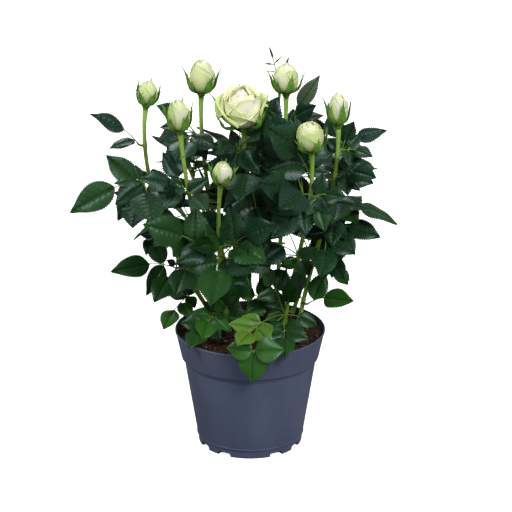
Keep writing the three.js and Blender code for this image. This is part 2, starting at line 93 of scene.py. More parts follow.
room = bpy.data.worlds.new("bright_room")
room.use_nodes = True
room.node_tree.nodes["Background"].inputs["Color"].default_value = WHITE
room.node_tree.nodes["Background"].inputs["Strength"].default_value = 0.33
bpy.context.scene.world = room
bpy.context.scene.view_settings.view_transform = "Standard"

deselect()
bpy.ops.mesh.primitive_plane_add(size=40)
floor = bpy.context.object
floor.name = "floor"
floor.data.materials.append(bare_material(
    "pale_floor", 0.9, Base_Color=paint(246, 246, 246), Emission_Color=WHITE, Emission_Strength=0.8
))
floor.visible_glossy = False
floor.visible_diffuse = False


# Pot: a round nursery pot, injection moulded in slate blue plastic, with a stepped collar, a thin rim and
# drain notches cut in the ring that it stands on.
MM = 0.001
POT_HEIGHT = 136
RIM_RADIUS = 85
POT_SIDES = 128
POT_OUTLINE = [
    (58.7, 0.0), (59.3, 0.6), (60.2, 10.2), (61.5, 10.8), (61.5, 11.3), (61.0, 11.9), (73.9, 93.6),
    (73.6, 98.0), (73.2, 102.8), (76.9, 103.2), (77.9, 104.0), (78.3, 105.4), (84.2, 133.0), (84.9, 133.8),
    (RIM_RADIUS, 135.4), (84.6, POT_HEIGHT), (83.5, POT_HEIGHT), (83.2, 135.4), (75.9, 103.2), (72.8, 95.6),
    (58.4, 9.0), (57.3, 8.0),
]
NOTCH = {"height": 5.4, "width": 16, "depth": 8, "round": 3, "angles": (30, 60)}


def pick(*pieces):
    """Selects these pieces alone; the last of them is the active one."""
    deselect()
    for piece in pieces:
        piece.select_set(True)
    bpy.context.view_layer.objects.active = pieces[-1]


def turned(name, outline, sides):
    """A closed shell of revolution: a circle is extruded from ring to ring along radii and heights."""
    deselect()
    radius, height = outline[0]
    bpy.ops.mesh.primitive_circle_add(vertices=sides, radius=radius * MM, location=(0, 0, 0))
    shell = bpy.context.object
    shell.name = name
    bpy.ops.object.mode_set(mode="EDIT")
    bpy.ops.mesh.select_all(action="SELECT")
    bpy.ops.transform.translate(value=(0, 0, height * MM))
    for wide, high in outline[1:]:
        bpy.ops.mesh.extrude_region_move(TRANSFORM_OT_translate={"value": (0, 0, (high - height) * MM)})
        grow = wide / radius
        bpy.ops.transform.resize(value=(grow, grow, 1), center_override=(0, 0, high * MM))
        radius, height = wide, high
    for ring in (0, len(outline) - 1):
        cap_ring(shell, ring, sides)
    outward(shell)
    return shell


def cap_ring(shell, ring, sides):
    """Closes a ring of the shell with a face, which is then split round its middle."""
    bpy.ops.mesh.select_all(action="DESELECT")
    bpy.ops.object.mode_set(mode="OBJECT")
    for vertex in shell.data.vertices:
        vertex.select = ring * sides <= vertex.index < (ring + 1) * sides
    bpy.ops.object.mode_set(mode="EDIT")
    bpy.ops.mesh.select_mode(type="VERT")
    bpy.ops.mesh.edge_face_add()
    bpy.ops.mesh.poke()


def outward(shell):
    """Merges doubles, turns every face outwards and leaves the piece in object mode."""
    bpy.ops.object.mode_set(mode="EDIT")
    bpy.ops.mesh.select_all(action="SELECT")
    bpy.ops.mesh.remove_doubles(threshold=1e-6)
    bpy.ops.mesh.normals_make_consistent(inside=False)
    pick(shell)


def finish_piece(piece, slot, *nodes):
    """Puts a piece's place into its mesh, hangs it on the plant and hides the model's parts that it stands
    for; its slot is not used.
    """
    pick(piece)
    bpy.ops.object.transform_apply(location=True, rotation=True, scale=True)
    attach(piece, "root")
    if nodes:
        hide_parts(*nodes)
    deselect()


def patches(material, scale, detail, stretch):
    """Soft noise on the piece's own coordinates, in patches per metre; a stretch under 1 draws them out."""
    nodes, links = material.node_tree.nodes, material.node_tree.links
    place = nodes.new("ShaderNodeTexCoord")
    mapping = nodes.new("ShaderNodeMapping")
    mapping.inputs["Scale"].default_value = stretch
    cloud = nodes.new("ShaderNodeTexNoise")
    cloud.inputs["Scale"].default_value = scale
    cloud.inputs["Detail"].default_value = detail
    links.new(place.outputs["Object"], mapping.inputs["Vector"])
    links.new(mapping.outputs["Vector"], cloud.inputs["Vector"])
    return cloud.outputs["Fac"]


def coloured(material, share, tints):
    """The shader's colour follows a share from 0 to 1 through tints that each have their place on it."""
    nodes, links = material.node_tree.nodes, material.node_tree.links
    ramp = nodes.new("ShaderNodeValToRGB")
    stops = ramp.color_ramp.elements
    while len(stops) < len(tints):
        stops.new(0.5)
    for stop, (position, tint) in zip(stops, tints):
        stop.position, stop.color = position, paint(*tint)
    links.new(share, ramp.inputs["Fac"])
    links.new(ramp.outputs["Color"], nodes["Principled BSDF"].inputs["Base Color"])


def mottled(material, tints, scale, stretch=(1, 1, 1), detail=4):
    coloured(material, patches(material, scale, detail, stretch), tints)


def grained(material, scale, height, stretch=(1, 1, 1), worn=None):
    """A fine relief, and with worn=(low, high) a roughness that varies in broader patches."""
    nodes, links = material.node_tree.nodes, material.node_tree.links
    shader = nodes["Principled BSDF"]
    bump = nodes.new("ShaderNodeBump")
    bump.inputs["Distance"].default_value = height
    links.new(patches(material, scale, 3, stretch), bump.inputs["Height"])
    links.new(bump.outputs["Normal"], shader.inputs["Normal"])
    if worn:
        spread = nodes.new("ShaderNodeMapRange")
        spread.inputs["To Min"].default_value, spread.inputs["To Max"].default_value = worn
        links.new(patches(material, scale / 12, 2, stretch), spread.inputs["Value"])
        links.new(spread.outputs["Result"], shader.inputs["Roughness"])


pot = turned("nursery_pot", POT_OUTLINE, POT_SIDES)
for quarter in (0, 90, 180, 270):
    for angle in NOTCH["angles"]:
        turn = math.radians(quarter + angle)
        spot = Vector((math.cos(turn), math.sin(turn), 0)) * POT_OUTLINE[1][0] * MM
        deselect()
        bpy.ops.mesh.primitive_cube_add(size=2 * MM, location=spot, rotation=(0, 0, turn))
        cutter = bpy.context.object
        cutter.scale = (NOTCH["depth"], NOTCH["width"] / 2, NOTCH["height"])
        bpy.ops.object.transform_apply(location=False, rotation=False, scale=True)
        bpy.ops.object.modifier_add(type="BEVEL")
        cutter.modifiers[-1].width = NOTCH["round"] * MM
        cutter.modifiers[-1].segments = 5
        bpy.ops.object.modifier_apply(modifier=cutter.modifiers[-1].name)
        pick(pot)
        bpy.ops.object.modifier_add(type="BOOLEAN")
        pot.modifiers[-1].operation = "DIFFERENCE"
        pot.modifiers[-1].object = cutter
        bpy.ops.object.modifier_apply(modifier=pot.modifiers[-1].name)
        bpy.data.objects.remove(cutter)
bpy.ops.object.shade_smooth_by_angle(angle=math.radians(28))
pot_plastic = bare_material("slate_plastic", 0.5, Specular_IOR_Level=0.1)
mottled(pot_plastic, ((0.3, (71, 79, 102)), (0.5, (77, 86, 109)), (0.72, (87, 96, 119))), 22, (1, 1, 0.35))
grained(pot_plastic, 900, 0.00012, worn=(0.46, 0.64))
pot.data.materials.append(pot_plastic)
finish_piece(pot, "pot", "pot")


# Potting soil: peat and bark compost, heaped loosely to just under the rim, dark and damp, with crumbs and
# fibres lying on top.
SOIL_TOP = 130
SOIL_FLOOR = 96
SOIL_RADIUS = 81.2
SOIL_SIDES = 96
SOIL_OUTLINE = [(0.6, SOIL_FLOOR), (60, SOIL_FLOOR), (69.2, 96.2), (75.1, 104.5), (SOIL_RADIUS, SOIL_TOP)]
SOIL_OUTLINE += [(SOIL_RADIUS * share, SOIL_TOP) for share in np.linspace(0.985, 0.02, 34)]


def soil_height(x, y):
    """How far the loose soil stands above or below its level, in metres."""
    broad = noise.noise(Vector((x, y, 0)) * 34) * 2.2 * MM
    clumps = abs(noise.noise(Vector((x, y, 0.3)) * 130)) * 3.6 * MM
    fine = noise.noise(Vector((x, y, 0.7)) * 420) * 1.0 * MM
    return broad + clumps + fine


soil = turned("potting_soil", SOIL_OUTLINE, SOIL_SIDES)
for vertex in soil.data.vertices:
    if vertex.co.z > (SOIL_TOP - 1) * MM:
        vertex.co.z += soil_height(vertex.co.x, vertex.co.y)
bpy.ops.object.shade_smooth()
soil_peat = bare_material("damp_peat", 0.95, Specular_IOR_Level=0.25)
mottled(soil_peat, ((0.35, (22, 14, 11)), (0.5, (44, 28, 21)), (0.68, (82, 50, 34))), 260, detail=8)
grained(soil_peat, 1500, 0.0006)
soil.data.materials.append(soil_peat)
finish_piece(soil, "soil", "soil")


def dice(seed):
    """A run of random numbers between 0 and 1 that is the same each time for its seed."""
    state = (seed * 7919 + 104729) % 2147483647

    def roll():
        nonlocal state
        state = state * 48271 % 2147483647
        return state / 2147483647

    roll()
    return roll


def mix(low, high, share):
    return low + (high - low) * share


def joined(name, forms, materials, smooth_angle=50):
    """One mesh from many forms, each of points in millimetres, faces and the number of its material."""
    points, faces, finishes, start = [], [], [], 0
    for form_points, form_faces, finish in forms:
        points.append(np.asarray(form_points, float))
        faces.extend([[start + corner for corner in face] for face in form_faces])
        finishes.extend([finish] * len(form_faces) if np.isscalar(finish) else finish)
        start += len(form_points)
    mesh = bpy.data.meshes.new(name)
    mesh.from_pydata((np.concatenate(points) * MM).tolist(), [], faces)
    for material in materials:
        mesh.materials.append(material)
    mesh.polygons.foreach_set("material_index", np.asarray(finishes, dtype=np.int32))
    piece = bpy.data.objects.new(name, mesh)
    bpy.context.scene.collection.objects.link(piece)
    pick(piece)
    bpy.ops.object.shade_smooth_by_angle(angle=math.radians(smooth_angle))
    return piece


def tube(path, radii, sides):
    """Points and faces of a closed round tube through a path, in millimetres."""
    path = np.asarray(path, float)
    ways = np.gradient(path, axis=0)
    ways /= np.linalg.norm(ways, axis=1, keepdims=True)
    reference = np.array([0.31, 0.17, 1.0]) if abs(ways[0][2]) < 0.9 else np.array([0.2, 1.0, 0.1])
    across = np.cross(ways, reference)
    across /= np.linalg.norm(across, axis=1, keepdims=True)
    over = np.cross(across, ways)
    turns = np.linspace(0, 2 * np.pi, sides, endpoint=False)
    rings = path[:, None] + np.asarray(radii, float)[:, None, None] * (
        np.cos(turns)[None, :, None] * across[:, None] + np.sin(turns)[None, :, None] * over[:, None]
    )
    last = len(path) - 1
    faces = [
        [r * sides + k, (r + 1) * sides + k, (r + 1) * sides + (k + 1) % sides, r * sides + (k + 1) % sides]
        for r in range(last)
        for k in range(sides)
    ]
    faces.append(list(range(sides)))
    faces.append([last * sides + k for k in reversed(range(sides))])
    return rings.reshape(-1, 3), faces


CRUMBS = {"count": 620, "spread": 79, "size": (0.7, 2.3)}
FIBRES = {"count": 170, "spread": 76, "edge": 80, "length": (4, 13), "radius": 0.34}
LITTER_TINTS = {"peat_crumb": (38, 25, 19), "bark_fibre": (96, 58, 38), "pale_chip": (150, 130, 100)}
PEAT, BARK, CHIP = range(3)


def on_soil(spread, roll):
    radius, turn = spread * math.sqrt(roll()), 2 * math.pi * roll()
    return radius * math.cos(turn), radius * math.sin(turn)


def soil_level(x, y):
    return SOIL_TOP + soil_height(x * MM, y * MM) / MM


roll = dice(3)
litter = []
for _ in range(CRUMBS["count"]):
    x, y = on_soil(CRUMBS["spread"], roll)
    size = mix(*CRUMBS["size"], roll() ** 2)
    ground = soil_level(x, y)
    stand = [[x, y, ground + size * (k - 0.9)] for k in (0, 0.5, 1, 1.3)]
    radii = [size * share * mix(0.75, 1.3, roll()) for share in (0.5, 1, 0.85, 0.3)]
    points, faces = tube(stand, radii, 5)
    points[:, 0] += (points[:, 2] - ground) * mix(-0.6, 0.6, roll())
    litter.append((points, faces, CHIP if roll() < 0.07 else (BARK if roll() < 0.35 else PEAT)))
for _ in range(FIBRES["count"]):
    x, y = on_soil(FIBRES["spread"], roll)
    lie, length, bend = 2 * math.pi * roll(), mix(*FIBRES["length"], roll()), mix(-0.5, 0.5, roll())
    path = []
    for k in range(6):
        along = (k / 5 - 0.5) * length
        aside = bend * along * along / length
        px = x + along * math.cos(lie) - aside * math.sin(lie)
        py = y + along * math.sin(lie) + aside * math.cos(lie)
        inside = min(1, FIBRES["edge"] / max(1, math.hypot(px, py)))
        px, py = px * inside, py * inside
        path.append([px, py, soil_level(px, py) + 0.5])
    litter.append((*tube(path, [FIBRES["radius"]] * 6, 4), BARK if roll() < 0.8 else CHIP))
litter_finishes = []
for name, tint in LITTER_TINTS.items():
    litter_finish = bare_material(name, 0.95, Specular_IOR_Level=0.2, Base_Color=paint(*tint))
    grained(litter_finish, 1500, 0.0004)
    litter_finishes.append(litter_finish)
finish_piece(joined("soil_crumbs_and_fibres", litter, litter_finishes), "soil")


# Canes: eleven green canes rise from the soil, swell a little where each side shoot leaves and under the
# bloom, and carry small reddish prickles; their bark has a fine lengthwise relief.
CLEARANCE = 0.3
CANE = {
    "foot": 4.4, "flare": 12, "low": 2.7, "high": 2.1, "neck": 3.1, "neck_share": 0.08, "knot": 0.55,
    "knot_share": 0.012, "streaks": 0.16, "buried": 5,
}
PRICKLES = {"count": 16, "shares": (0.1, 0.9), "length": (1.6, 2.9)}
STEM = {"foot": 1.5, "tip": 1.2, "steps": 4, "least": 7, "leaf_room": 2.05, "square": 0.45}
# Each cane's foot on the soil and the points that bend it, and its bloom's radius, height and how open it is.
CANES = [
    {"curve": [(-41, 44), (-87, 35, 201), (-125, 6, 309), (-113, -10, 394)], "bloom": (11.5, 33, 0.1)},
    {"curve": [(-12, 64), (-33, 53, 201), (-58, 46, 307), (-54, 36, 395)], "bloom": (15, 43, 0.25)},
    {"curve": [(-31, 21), (-49, 9, 196), (-69, -31, 297), (-74, -50, 377)], "bloom": (12.5, 41, 0.1)},
    {"curve": [(0, 62), (-2, 34, 196), (-2, 0, 300), (-7, -24, 376)], "bloom": (26, 47, 1)},
    {"curve": [(29, 66), (34, 61, 200), (40, 50, 305), (40, 45, 392)], "bloom": (15, 39, 0.35)},
    {"curve": [(57, 35), (64, 32, 193), (100, 15, 288), (97, 10, 366)], "bloom": (11.5, 41, 0.05)},
    {"curve": [(39, 28), (45, 13, 191), (72, -32, 285), (66, -55, 357)], "bloom": (15.5, 38, 0.5)},
    {"curve": [(-25, 4), (-31, -15, 183), (-38, -49, 264), (-31, -75, 327)], "bloom": (11, 31, 0.05)},
    {"curve": [(-28, 57), (-49, 81, 175), (-44, 95, 243), (-75, 105, 300)], "bloom": None},
    {"curve": [(48, 58), (70, 79, 173), (72, 93, 237), (95, 100, 290)], "bloom": None},
    {"curve": [(12, 48), (10, 81, 175), (18, 104, 243), (5, 115, 300)], "bloom": None},
]
# Each cane's side shoots: the share of the cane where one leaves, the length of its leaflets, the turn of its
# leaves in degrees, how many extra leaves it has, and the places that its leaves' tips reach for.
SHOOTS = [
    [
        [0.16, 32, 25, 0, (-90, -20, 155), (-130, 0, 150)],
        [0.29, 50, 60, 3, (-145, -20, 213), (-105, -25, 178)],
        [0.45, 42, 40, 3, (-115, -15, 232), (-125, 55, 230)],
        [0.6, 48, 50, 4, (-130, -55, 278), (-140, 60, 290)],
        [0.68, 66, 60, 0, (-200, -18, 283), (-152, -25, 318)],
        [0.84, 50, 35, 0, (-170, -25, 395), (-142, -45, 350)],
    ],
    [
        [0.5, 48, -20, 3, (-85, 105, 285), (-70, -20, 320)],
        [0.84, 48, 30, 4, (-100, 20, 393), (-25, 5, 376), (-97, 30, 330), (-75, 60, 340)],
    ],
    [
        [0.1, 34, 50, 0, (-65, -72, 142), (-52, -60, 150)],
        [0.48, 50, 60, 1, (-80, -78, 255), (-72, -85, 225)],
        [0.58, 54, 60, 3, (-110, -65, 285), (-100, -60, 258), (-50, -30, 280)],
        [0.72, 52, 50, 3, (-115, -60, 332), (-45, -85, 305), (-95, -25, 350)],
    ],
    [
        [0.5, 50, 45, 4, (-20, -45, 285), (35, -20, 300)],
        [0.78, 58, 55, 3, (30, -40, 398), (20, -75, 322), (-10, -95, 325)],
        [0.86, 46, 50, 4, (-30, -75, 373), (-45, 10, 350)],
    ],
    [
        [0.4, 48, 10, 5, (65, 105, 255), (15, 30, 240)],
        [0.7, 54, 30, 4, (70, 110, 335), (75, -5, 360)],
        [0.86, 50, 70, 4, (80, 45, 422), (70, 30, 390), (5, 90, 375)],
        [0.84, 16, 30, 0, (22, 88, 441), (36, 86, 437)],
    ],
    [
        [0.12, 42, 50, 0, (112, -20, 178), (80, -42, 148)],
        [0.38, 48, 60, 3, (105, -20, 203), (115, 60, 215)],
        [0.53, 46, 50, 3, (145, -5, 250), (122, -20, 238)],
        [0.64, 50, 10, 3, (166, 5, 264), (100, -40, 255)],
        [0.77, 52, 45, 1, (135, -30, 325), (150, -5, 337), (140, 70, 315), (105, -20, 330)],
        [0.87, 50, 50, 4, (150, 20, 365), (119, 10, 368), (90, 45, 375)],
    ],
    [
        [0.08, 36, 45, 3, (48, -98, 146), (0, -104, 152), (25, 0, 160)],
        [0.45, 48, 60, 0, (5, -85, 205), (68, -62, 226), (55, -20, 185)],
        [0.72, 60, 60, 3, (15, -92, 335), (25, -92, 280)],
        [0.78, 58, 60, 3, (100, -75, 315), (82, -68, 275)],
        [0.86, 52, 55, 4, (25, -82, 388), (88, -15, 350)],
    ],
    [
        [0.12, 38, 55, 3, (-32, -72, 145), (-15, -40, 185), (-30, -20, 155)],
        [0.55, 54, 65, 0, (-42, -130, 218), (0, -110, 245)],
        [0.64, 50, 55, 1, (20, -105, 257), (-85, -75, 232), (-10, -60, 235)],
    ],
    [
        [0.4, 48, -40, 4, (-105, 130, 205), (-35, 155, 215)],
        [0.9, 52, -30, 2, (-105, 110, 325), (-70, 165, 300), (-50, 90, 350)],
    ],
    [
        [0.4, 48, -40, 4, (125, 125, 205), (65, 155, 210)],
        [0.9, 52, -30, 5, (145, 95, 300), (110, 165, 300)],
    ],
    [
        [0.4, 48, -45, 4, (-5, 165, 195), (35, 150, 225)],
        [0.9, 52, -35, 3, (-5, 188, 280), (50, 165, 320), (5, 130, 360)],
    ],
]
CANE_CUTS = 43


def on_curve(points, share):
    """A place on a curve of any number of control points, and the direction of the curve there."""
    points = [Vector(point) for point in points]
    while len(points) > 2:
        points = [a.lerp(b, share) for a, b in zip(points, points[1:])]
    return points[0].lerp(points[1], share), (points[1] - points[0]).normalized()


def cane_points(number):
    """The control points of a cane's curve, with its foot just clear of the soil."""
    foot, *rest = CANES[number]["curve"]
    return [(*foot, SOIL_TOP + CLEARANCE), *rest]


def cane_radius(share, blooms):
    """A cane's radius: wide at its foot, slimmer upwards and thicker again under a bloom."""
    rise = share * (POT_HEIGHT + RIM_RADIUS)
    flare = max(0, 1 - rise / CANE["flare"])
    neck = max(0, 1 - (1 - share) / CANE["neck_share"]) if blooms else 0
    plain = mix(CANE["low"], CANE["high"] if blooms else STEM["foot"], share)
    return plain + (CANE["foot"] - CANE["low"]) * flare * flare + (CANE["neck"] - CANE["high"]) * neck


def bent_prickle(base, out, down, length):
    """A small hooked prickle, broad at its base along the cane and bent down towards its point."""
    path = [base - out * 0.8, base + out * length * 0.35 + down * 0.1]
    path += [base + out * length * 0.75 + down * length * 0.2, base + out * length + down * length * 0.5]
    return tube(path, [length * 0.42, length * 0.26, length * 0.12, length * 0.02], 6)


cane_bark = bare_material("green_bark", 0.48, Specular_IOR_Level=0.4, Subsurface_Weight=0.05)
mottled(cane_bark, ((0.3, (118, 164, 56)), (0.55, (150, 192, 76)), (0.75, (170, 206, 96))), 60, (1, 1, 0.3))
grained(cane_bark, 700, 0.0003, (1, 1, 0.12), worn=(0.4, 0.58))
prickle_finish = bare_material("red_prickle", 0.45, Base_Color=paint(128, 62, 44))
grained(prickle_finish, 900, 0.0001)
for number, grown in enumerate(CANES):
    points = [Vector(point) for point in cane_points(number)]
    foot, low, high, tip = [point * MM for point in points]
    deselect()
    bpy.ops.curve.primitive_bezier_curve_add(location=(0, 0, 0))
    cane = bpy.context.object
    cane.name = f"rose_cane_{number + 1}"
    ends = cane.data.splines[0].bezier_points
    for end, knot, handle in ((ends[0], foot, low), (ends[1], tip, high)):
        end.handle_left_type = end.handle_right_type = "FREE"
        end.co = knot
        end.handle_left, end.handle_right = handle, handle
    bpy.ops.object.mode_set(mode="EDIT")
    bpy.ops.curve.select_all(action="SELECT")
    bpy.ops.curve.subdivide(number_cuts=CANE_CUTS)
    bpy.ops.object.mode_set(mode="OBJECT")
    knots = cane.data.splines[0].bezier_points
    nodes = [row[0] for row in SHOOTS[number]]
    for k, knot in enumerate(knots):
        share = k / (len(knots) - 1)
        swell = sum(CANE["knot"] * math.exp(-(((share - node) / CANE["knot_share"]) ** 2)) for node in nodes)
        knot.radius = cane_radius(share, grown["bloom"]) + swell
    cane.data.bevel_depth = MM
    cane.data.bevel_resolution = 4
    cane.data.resolution_u = 3
    cane.data.use_fill_caps = True
    bpy.ops.object.convert(target="MESH")
    outward(cane)
    for vertex in cane.data.vertices:
        streak = noise.noise(Vector((vertex.co.x * 900, vertex.co.y * 900, vertex.co.z * 90)))
        vertex.co += vertex.normal * (streak * CANE["streaks"] * MM)
        if vertex.co.z < foot.z + 0.5 * MM:
            vertex.co.z -= CANE["buried"] * MM
    roll = dice(number + 400)
    prickles = []
    for _ in range(PRICKLES["count"]):
        share = mix(*PRICKLES["shares"], roll())
        base, way = on_curve(points, share)
        turn = 2 * math.pi * roll()
        out = way.orthogonal().normalized()
        out.rotate(Quaternion(way, turn))
        base = base + out * cane_radius(share, grown["bloom"])
        prickles.append((*bent_prickle(base, out, -way, mix(*PRICKLES["length"], roll())), 1))
    prickles = joined("prickles", prickles, [cane_bark, prickle_finish])
    cane.data.materials.append(cane_bark)
    pick(prickles, cane)
    bpy.ops.object.shade_smooth_by_angle(angle=math.radians(50))
    bpy.ops.object.join()
    finish_piece(cane, "cane", f"cane_{number + 1}")


# Side shoots: leafy twigs that leave each cane square to it and branch into leaves by the plant's own rule; a
# leaf or leaflet that would leave the crown or run into a neighbour isn't grown.
UP, FRONT = Vector((0, 0, 1)), Vector((0, -1, 0))
RIB = {"foot": 0.9, "tip": 0.7, "steps": 2}
LEAFLET = {"width": 0.64, "thick": 0.03, "droop": 0.1, "large": 42}
PAIRS = [{"back": 0.4, "size": 0.84}, {"back": 0.95, "size": 0.68}]
TRIES = 12
TRY_SPREAD = 16
END_SHARE = 0.66
PAIR_SPREAD = 62
PAIR_STEP = 0.012
CHANCE = {"end_turn": (-8, 8), "spread": (-9, 9), "turn": (-16, 16), "length": (0.92, 1.05)}
TIP_NODES = {"first": 0.9, "step": 0.17}
EXTRA = {"shares": (0.3, 0.9), "turn": 70, "reach": (1.6, 2.1)}
GUARD = 0.45
GOLDEN_ANGLE = 137.5
EDGE_REACH = math.sin(math.pi / 3)
CROWN = {"centre": Vector((-5, 12, 300)), "radii": (138, 160, 130)}
CANE_RINGS = [(1 - math.cos(math.pi * k / 10)) / 2 for k in range(11)]


def squared_to(way, hint):
    """The hint's part that is square to a way, one long."""
    return (hint - way * hint.dot(way)).normalized()


def skin(points, sides):
    """A closed skin through rings of points, as its box and a tree that finds where it meets another."""
    last = len(points) // sides - 1
    faces = [list(range(sides)), list(range(last * sides, (last + 1) * sides))]
    for r in range(last):
        for k in range(sides):
            a, b = r * sides + k, r * sides + (k + 1) % sides
            faces += [[a, b, b + sides], [a, b + sides, a + sides]]
    tree = BVHTree.FromPolygons(points, faces, all_triangles=False)
    corners = np.array(points)
    return corners.min(0), corners.max(0), tree


def blade_skin(rings):
    corners = [(math.sin(2 * math.pi * k / 3), math.cos(2 * math.pi * k / 3)) for k in range(3)]
    points = [
        at + side * (x * half / EDGE_REACH) + face * (z * deep)
        for at, side, face, half, deep in rings
        for x, z in corners
    ]
    return skin(points, 3)


def twig_rings(curve, form, hint, swell):
    rings = []
    for k in range(form["steps"] + 1):
        share = k / form["steps"]
        at, way = on_curve(curve, share)
        face = squared_to(way, hint)
        radius = mix(form["foot"], form["tip"], share) + swell
        rings.append((at, way.cross(face), face, radius, radius))
    return rings


def leaflet_rings(leaflet, swell):
    foot, way, face, size = leaflet
    stations = [(0.3, 0.92, 1), (0.68, 0.8, 0.9)] if size > LEAFLET["large"] else [(0.42, 0.96, 1)]
    side = way.cross(face)
    rings = []
    for along, wide, thick in [(0, 0, 0.7), *stations, (1, 0, 0)]:
        at = foot + way * (along * size + (swell if along == 1 else 0))
        at = at - face * (LEAFLET["droop"] * size * along**2)
        half = wide * size * LEAFLET["width"] / 2 + (swell if wide else 0)
        rings.append((at, side, face, half, thick * size * LEAFLET["thick"] / 1.5 + swell))
    return rings


def limb_skin(curve, radius_at, sides, shares):
    chord = (Vector(curve[-1]) - Vector(curve[0])).normalized()
    reference = FRONT if abs(chord.z) > 0.8 else UP
    points = []
    for share in shares:
        at, way = on_curve(curve, share)
        if share == 0 and reference is FRONT:
            way = UP
        side = way.cross(reference).normalized()
        face = side.cross(way)
        for k in range(sides):
            turn = 2 * math.pi * k / sides
            points.append(at + (side * math.sin(turn) + face * math.cos(turn)) * radius_at(share))
    return skin(points, sides)


def compound_leaf(node, tip, leaflet, hint, roll):
    """A leaf on its stalk: leaflets in pairs along the rib and one at the tip."""
    size = min(leaflet, (tip - node).length * END_SHARE)
    end_way = ((tip - node).normalized() - UP * 0.12).normalized()
    end = tip - end_way * size
    rib_length = (end - node).length
    curve = [node, node.lerp(end, 0.5) + UP * (rib_length * 0.1), end]
    leaflets = []

    def add(foot, heading, length, turn):
        face = squared_to(heading, hint)
        face.rotate(Quaternion(heading, math.radians(turn)))
        leaflets.append((foot, heading, face, length))

    add(end, end_way, size, mix(*CHANCE["end_turn"], roll()))
    for pair in PAIRS:
        share = 1 - pair["back"] * size / rib_length
        for hand in (1, -1):
            spread, length, turn = roll(), roll(), roll()
            if share > 0.12:
                way = on_curve(curve, share)[1]
                face = squared_to(way, hint)
                angle = math.radians(PAIR_SPREAD + mix(*CHANCE["spread"], spread))
                heading = way * math.cos(angle) + way.cross(face) * (hand * math.sin(angle)) - face * 0.1
                foot = on_curve(curve, share + hand * PAIR_STEP)[0]
                long = size * pair["size"] * mix(*CHANCE["length"], length)
                add(foot, heading.normalized(), long, mix(*CHANCE["turn"], turn))
    return curve, leaflets


guards = []


def is_clear(new, besides=()):
    low, high, tree = new
    if not guards:
        return True
    lows, highs = (np.array([guard[k] for guard in guards]) for k in (0, 1))
    near = np.nonzero(((lows <= high) & (highs >= low)).all(1))[0]
    return not any(not any(guards[k] is own for own in besides) and tree.overlap(guards[k][2]) for k in near)


def pot_skin():
    outline = [
        (0, SOIL_TOP + 1), (RIM_RADIUS - 3.7, SOIL_TOP + 1), (RIM_RADIUS - 2.7, POT_HEIGHT + 1),
        (RIM_RADIUS + 1, POT_HEIGHT + 1), (78.5, 102), (75.3, 95), (61.9, 0),
    ]
    turns = [2 * math.pi * k / 24 for k in range(24)]
    return skin([Vector((r * math.sin(t), -r * math.cos(t), z)) for r, z in outline for t in turns], 24)


def start_shoot(row, number, index):
    """A side shoot: its stem leaves the cane square to it and carries the leaves that its row names."""
    share, leaflet, turn, extra, *tips = row
    tips = [Vector(tip) for tip in tips]
    middle = sum(tips, Vector()) / len(tips)
    on_cane, way = on_curve(cane_points(number), share)
    away = squared_to(way, middle - on_cane)
    start = on_cane + away * (cane_radius(share, CANES[number]["bloom"]) + CLEARANCE)
    nearest = min((tip - start).length for tip in tips)
    length = max(STEM["least"], nearest - STEM["leaf_room"] * leaflet)
    end = start.lerp(middle, length / (middle - start).length)
    curve = [start, start + away * (length * STEM["square"]), end]
    hint = UP * math.cos(math.radians(turn)) + FRONT * math.sin(math.radians(turn))
    own = blade_skin(twig_rings(curve, STEM, away.cross(way), GUARD))
    guards.append(own)
    roll = dice(number * 100 + index * 10 + 7)
    return {
        "cane": number, "name": f"leaves_{number + 1}_{'abcdefgh'[index]}", "stem": curve, "away": away,
        "own": [own], "tips": tips, "extra": extra, "leaflet": leaflet, "hint": hint, "roll": roll,
        "leaves": [],
    }


def add_leaf(shoot, node, tip):
    """The best of a few leaves that reach near the same tip is kept, with the leaflets that stay clear."""
    best = None
    roll = shoot["roll"]
    for attempt in range(TRIES):
        shift = Vector((roll() - 0.5, roll() - 0.5, roll() - 0.5))
        aim = tip + shift * (attempt * 2 * TRY_SPREAD / TRIES)
        curve, leaflets = compound_leaf(node, aim, shoot["leaflet"], shoot["hint"], roll)
        rib_skin = blade_skin(twig_rings(curve, RIB, shoot["hint"], GUARD))
        if is_clear(rib_skin, shoot["own"]):
            skins = [blade_skin(leaflet_rings(leaflet, GUARD)) for leaflet in leaflets]
            fits = [is_clear(new) for new in skins]
            if fits[0] and (best is None or sum(fits) > len(best["leaflets"])):
                best = {
                    "rib": curve, "rib_skin": rib_skin,
                    "leaflets": [leaflet for leaflet, fit in zip(leaflets, fits) if fit],
                    "skins": [new for new, fit in zip(skins, fits) if fit],
                }
    if best:
        guards.extend([best["rib_skin"], *best["skins"]])
        shoot["own"].append(best["rib_skin"])
        shoot["leaves"].append(best)


def in_crown(tip, radii):
    return Vector([v / radius for v, radius in zip(tip - CROWN["centre"], radii)]).length < 1


def add_extra_leaf(shoot, number):
    """An extra leaf leaves the stem by the golden angle and keeps inside the crown."""
    share = mix(*EXTRA["shares"], (number + 0.5) / shoot["extra"])
    node, way = on_curve(shoot["stem"], share)
    side = squared_to(way, shoot["hint"])
    side.rotate(Quaternion(way, math.radians(EXTRA["turn"] + GOLDEN_ANGLE * number)))
    out = (way * 0.55 + side + UP * 0.25).normalized()
    tip = node + out * (shoot["leaflet"] * mix(*EXTRA["reach"], shoot["roll"]()))
    if in_crown(tip, CROWN["radii"]):
        add_leaf(shoot, node, tip)


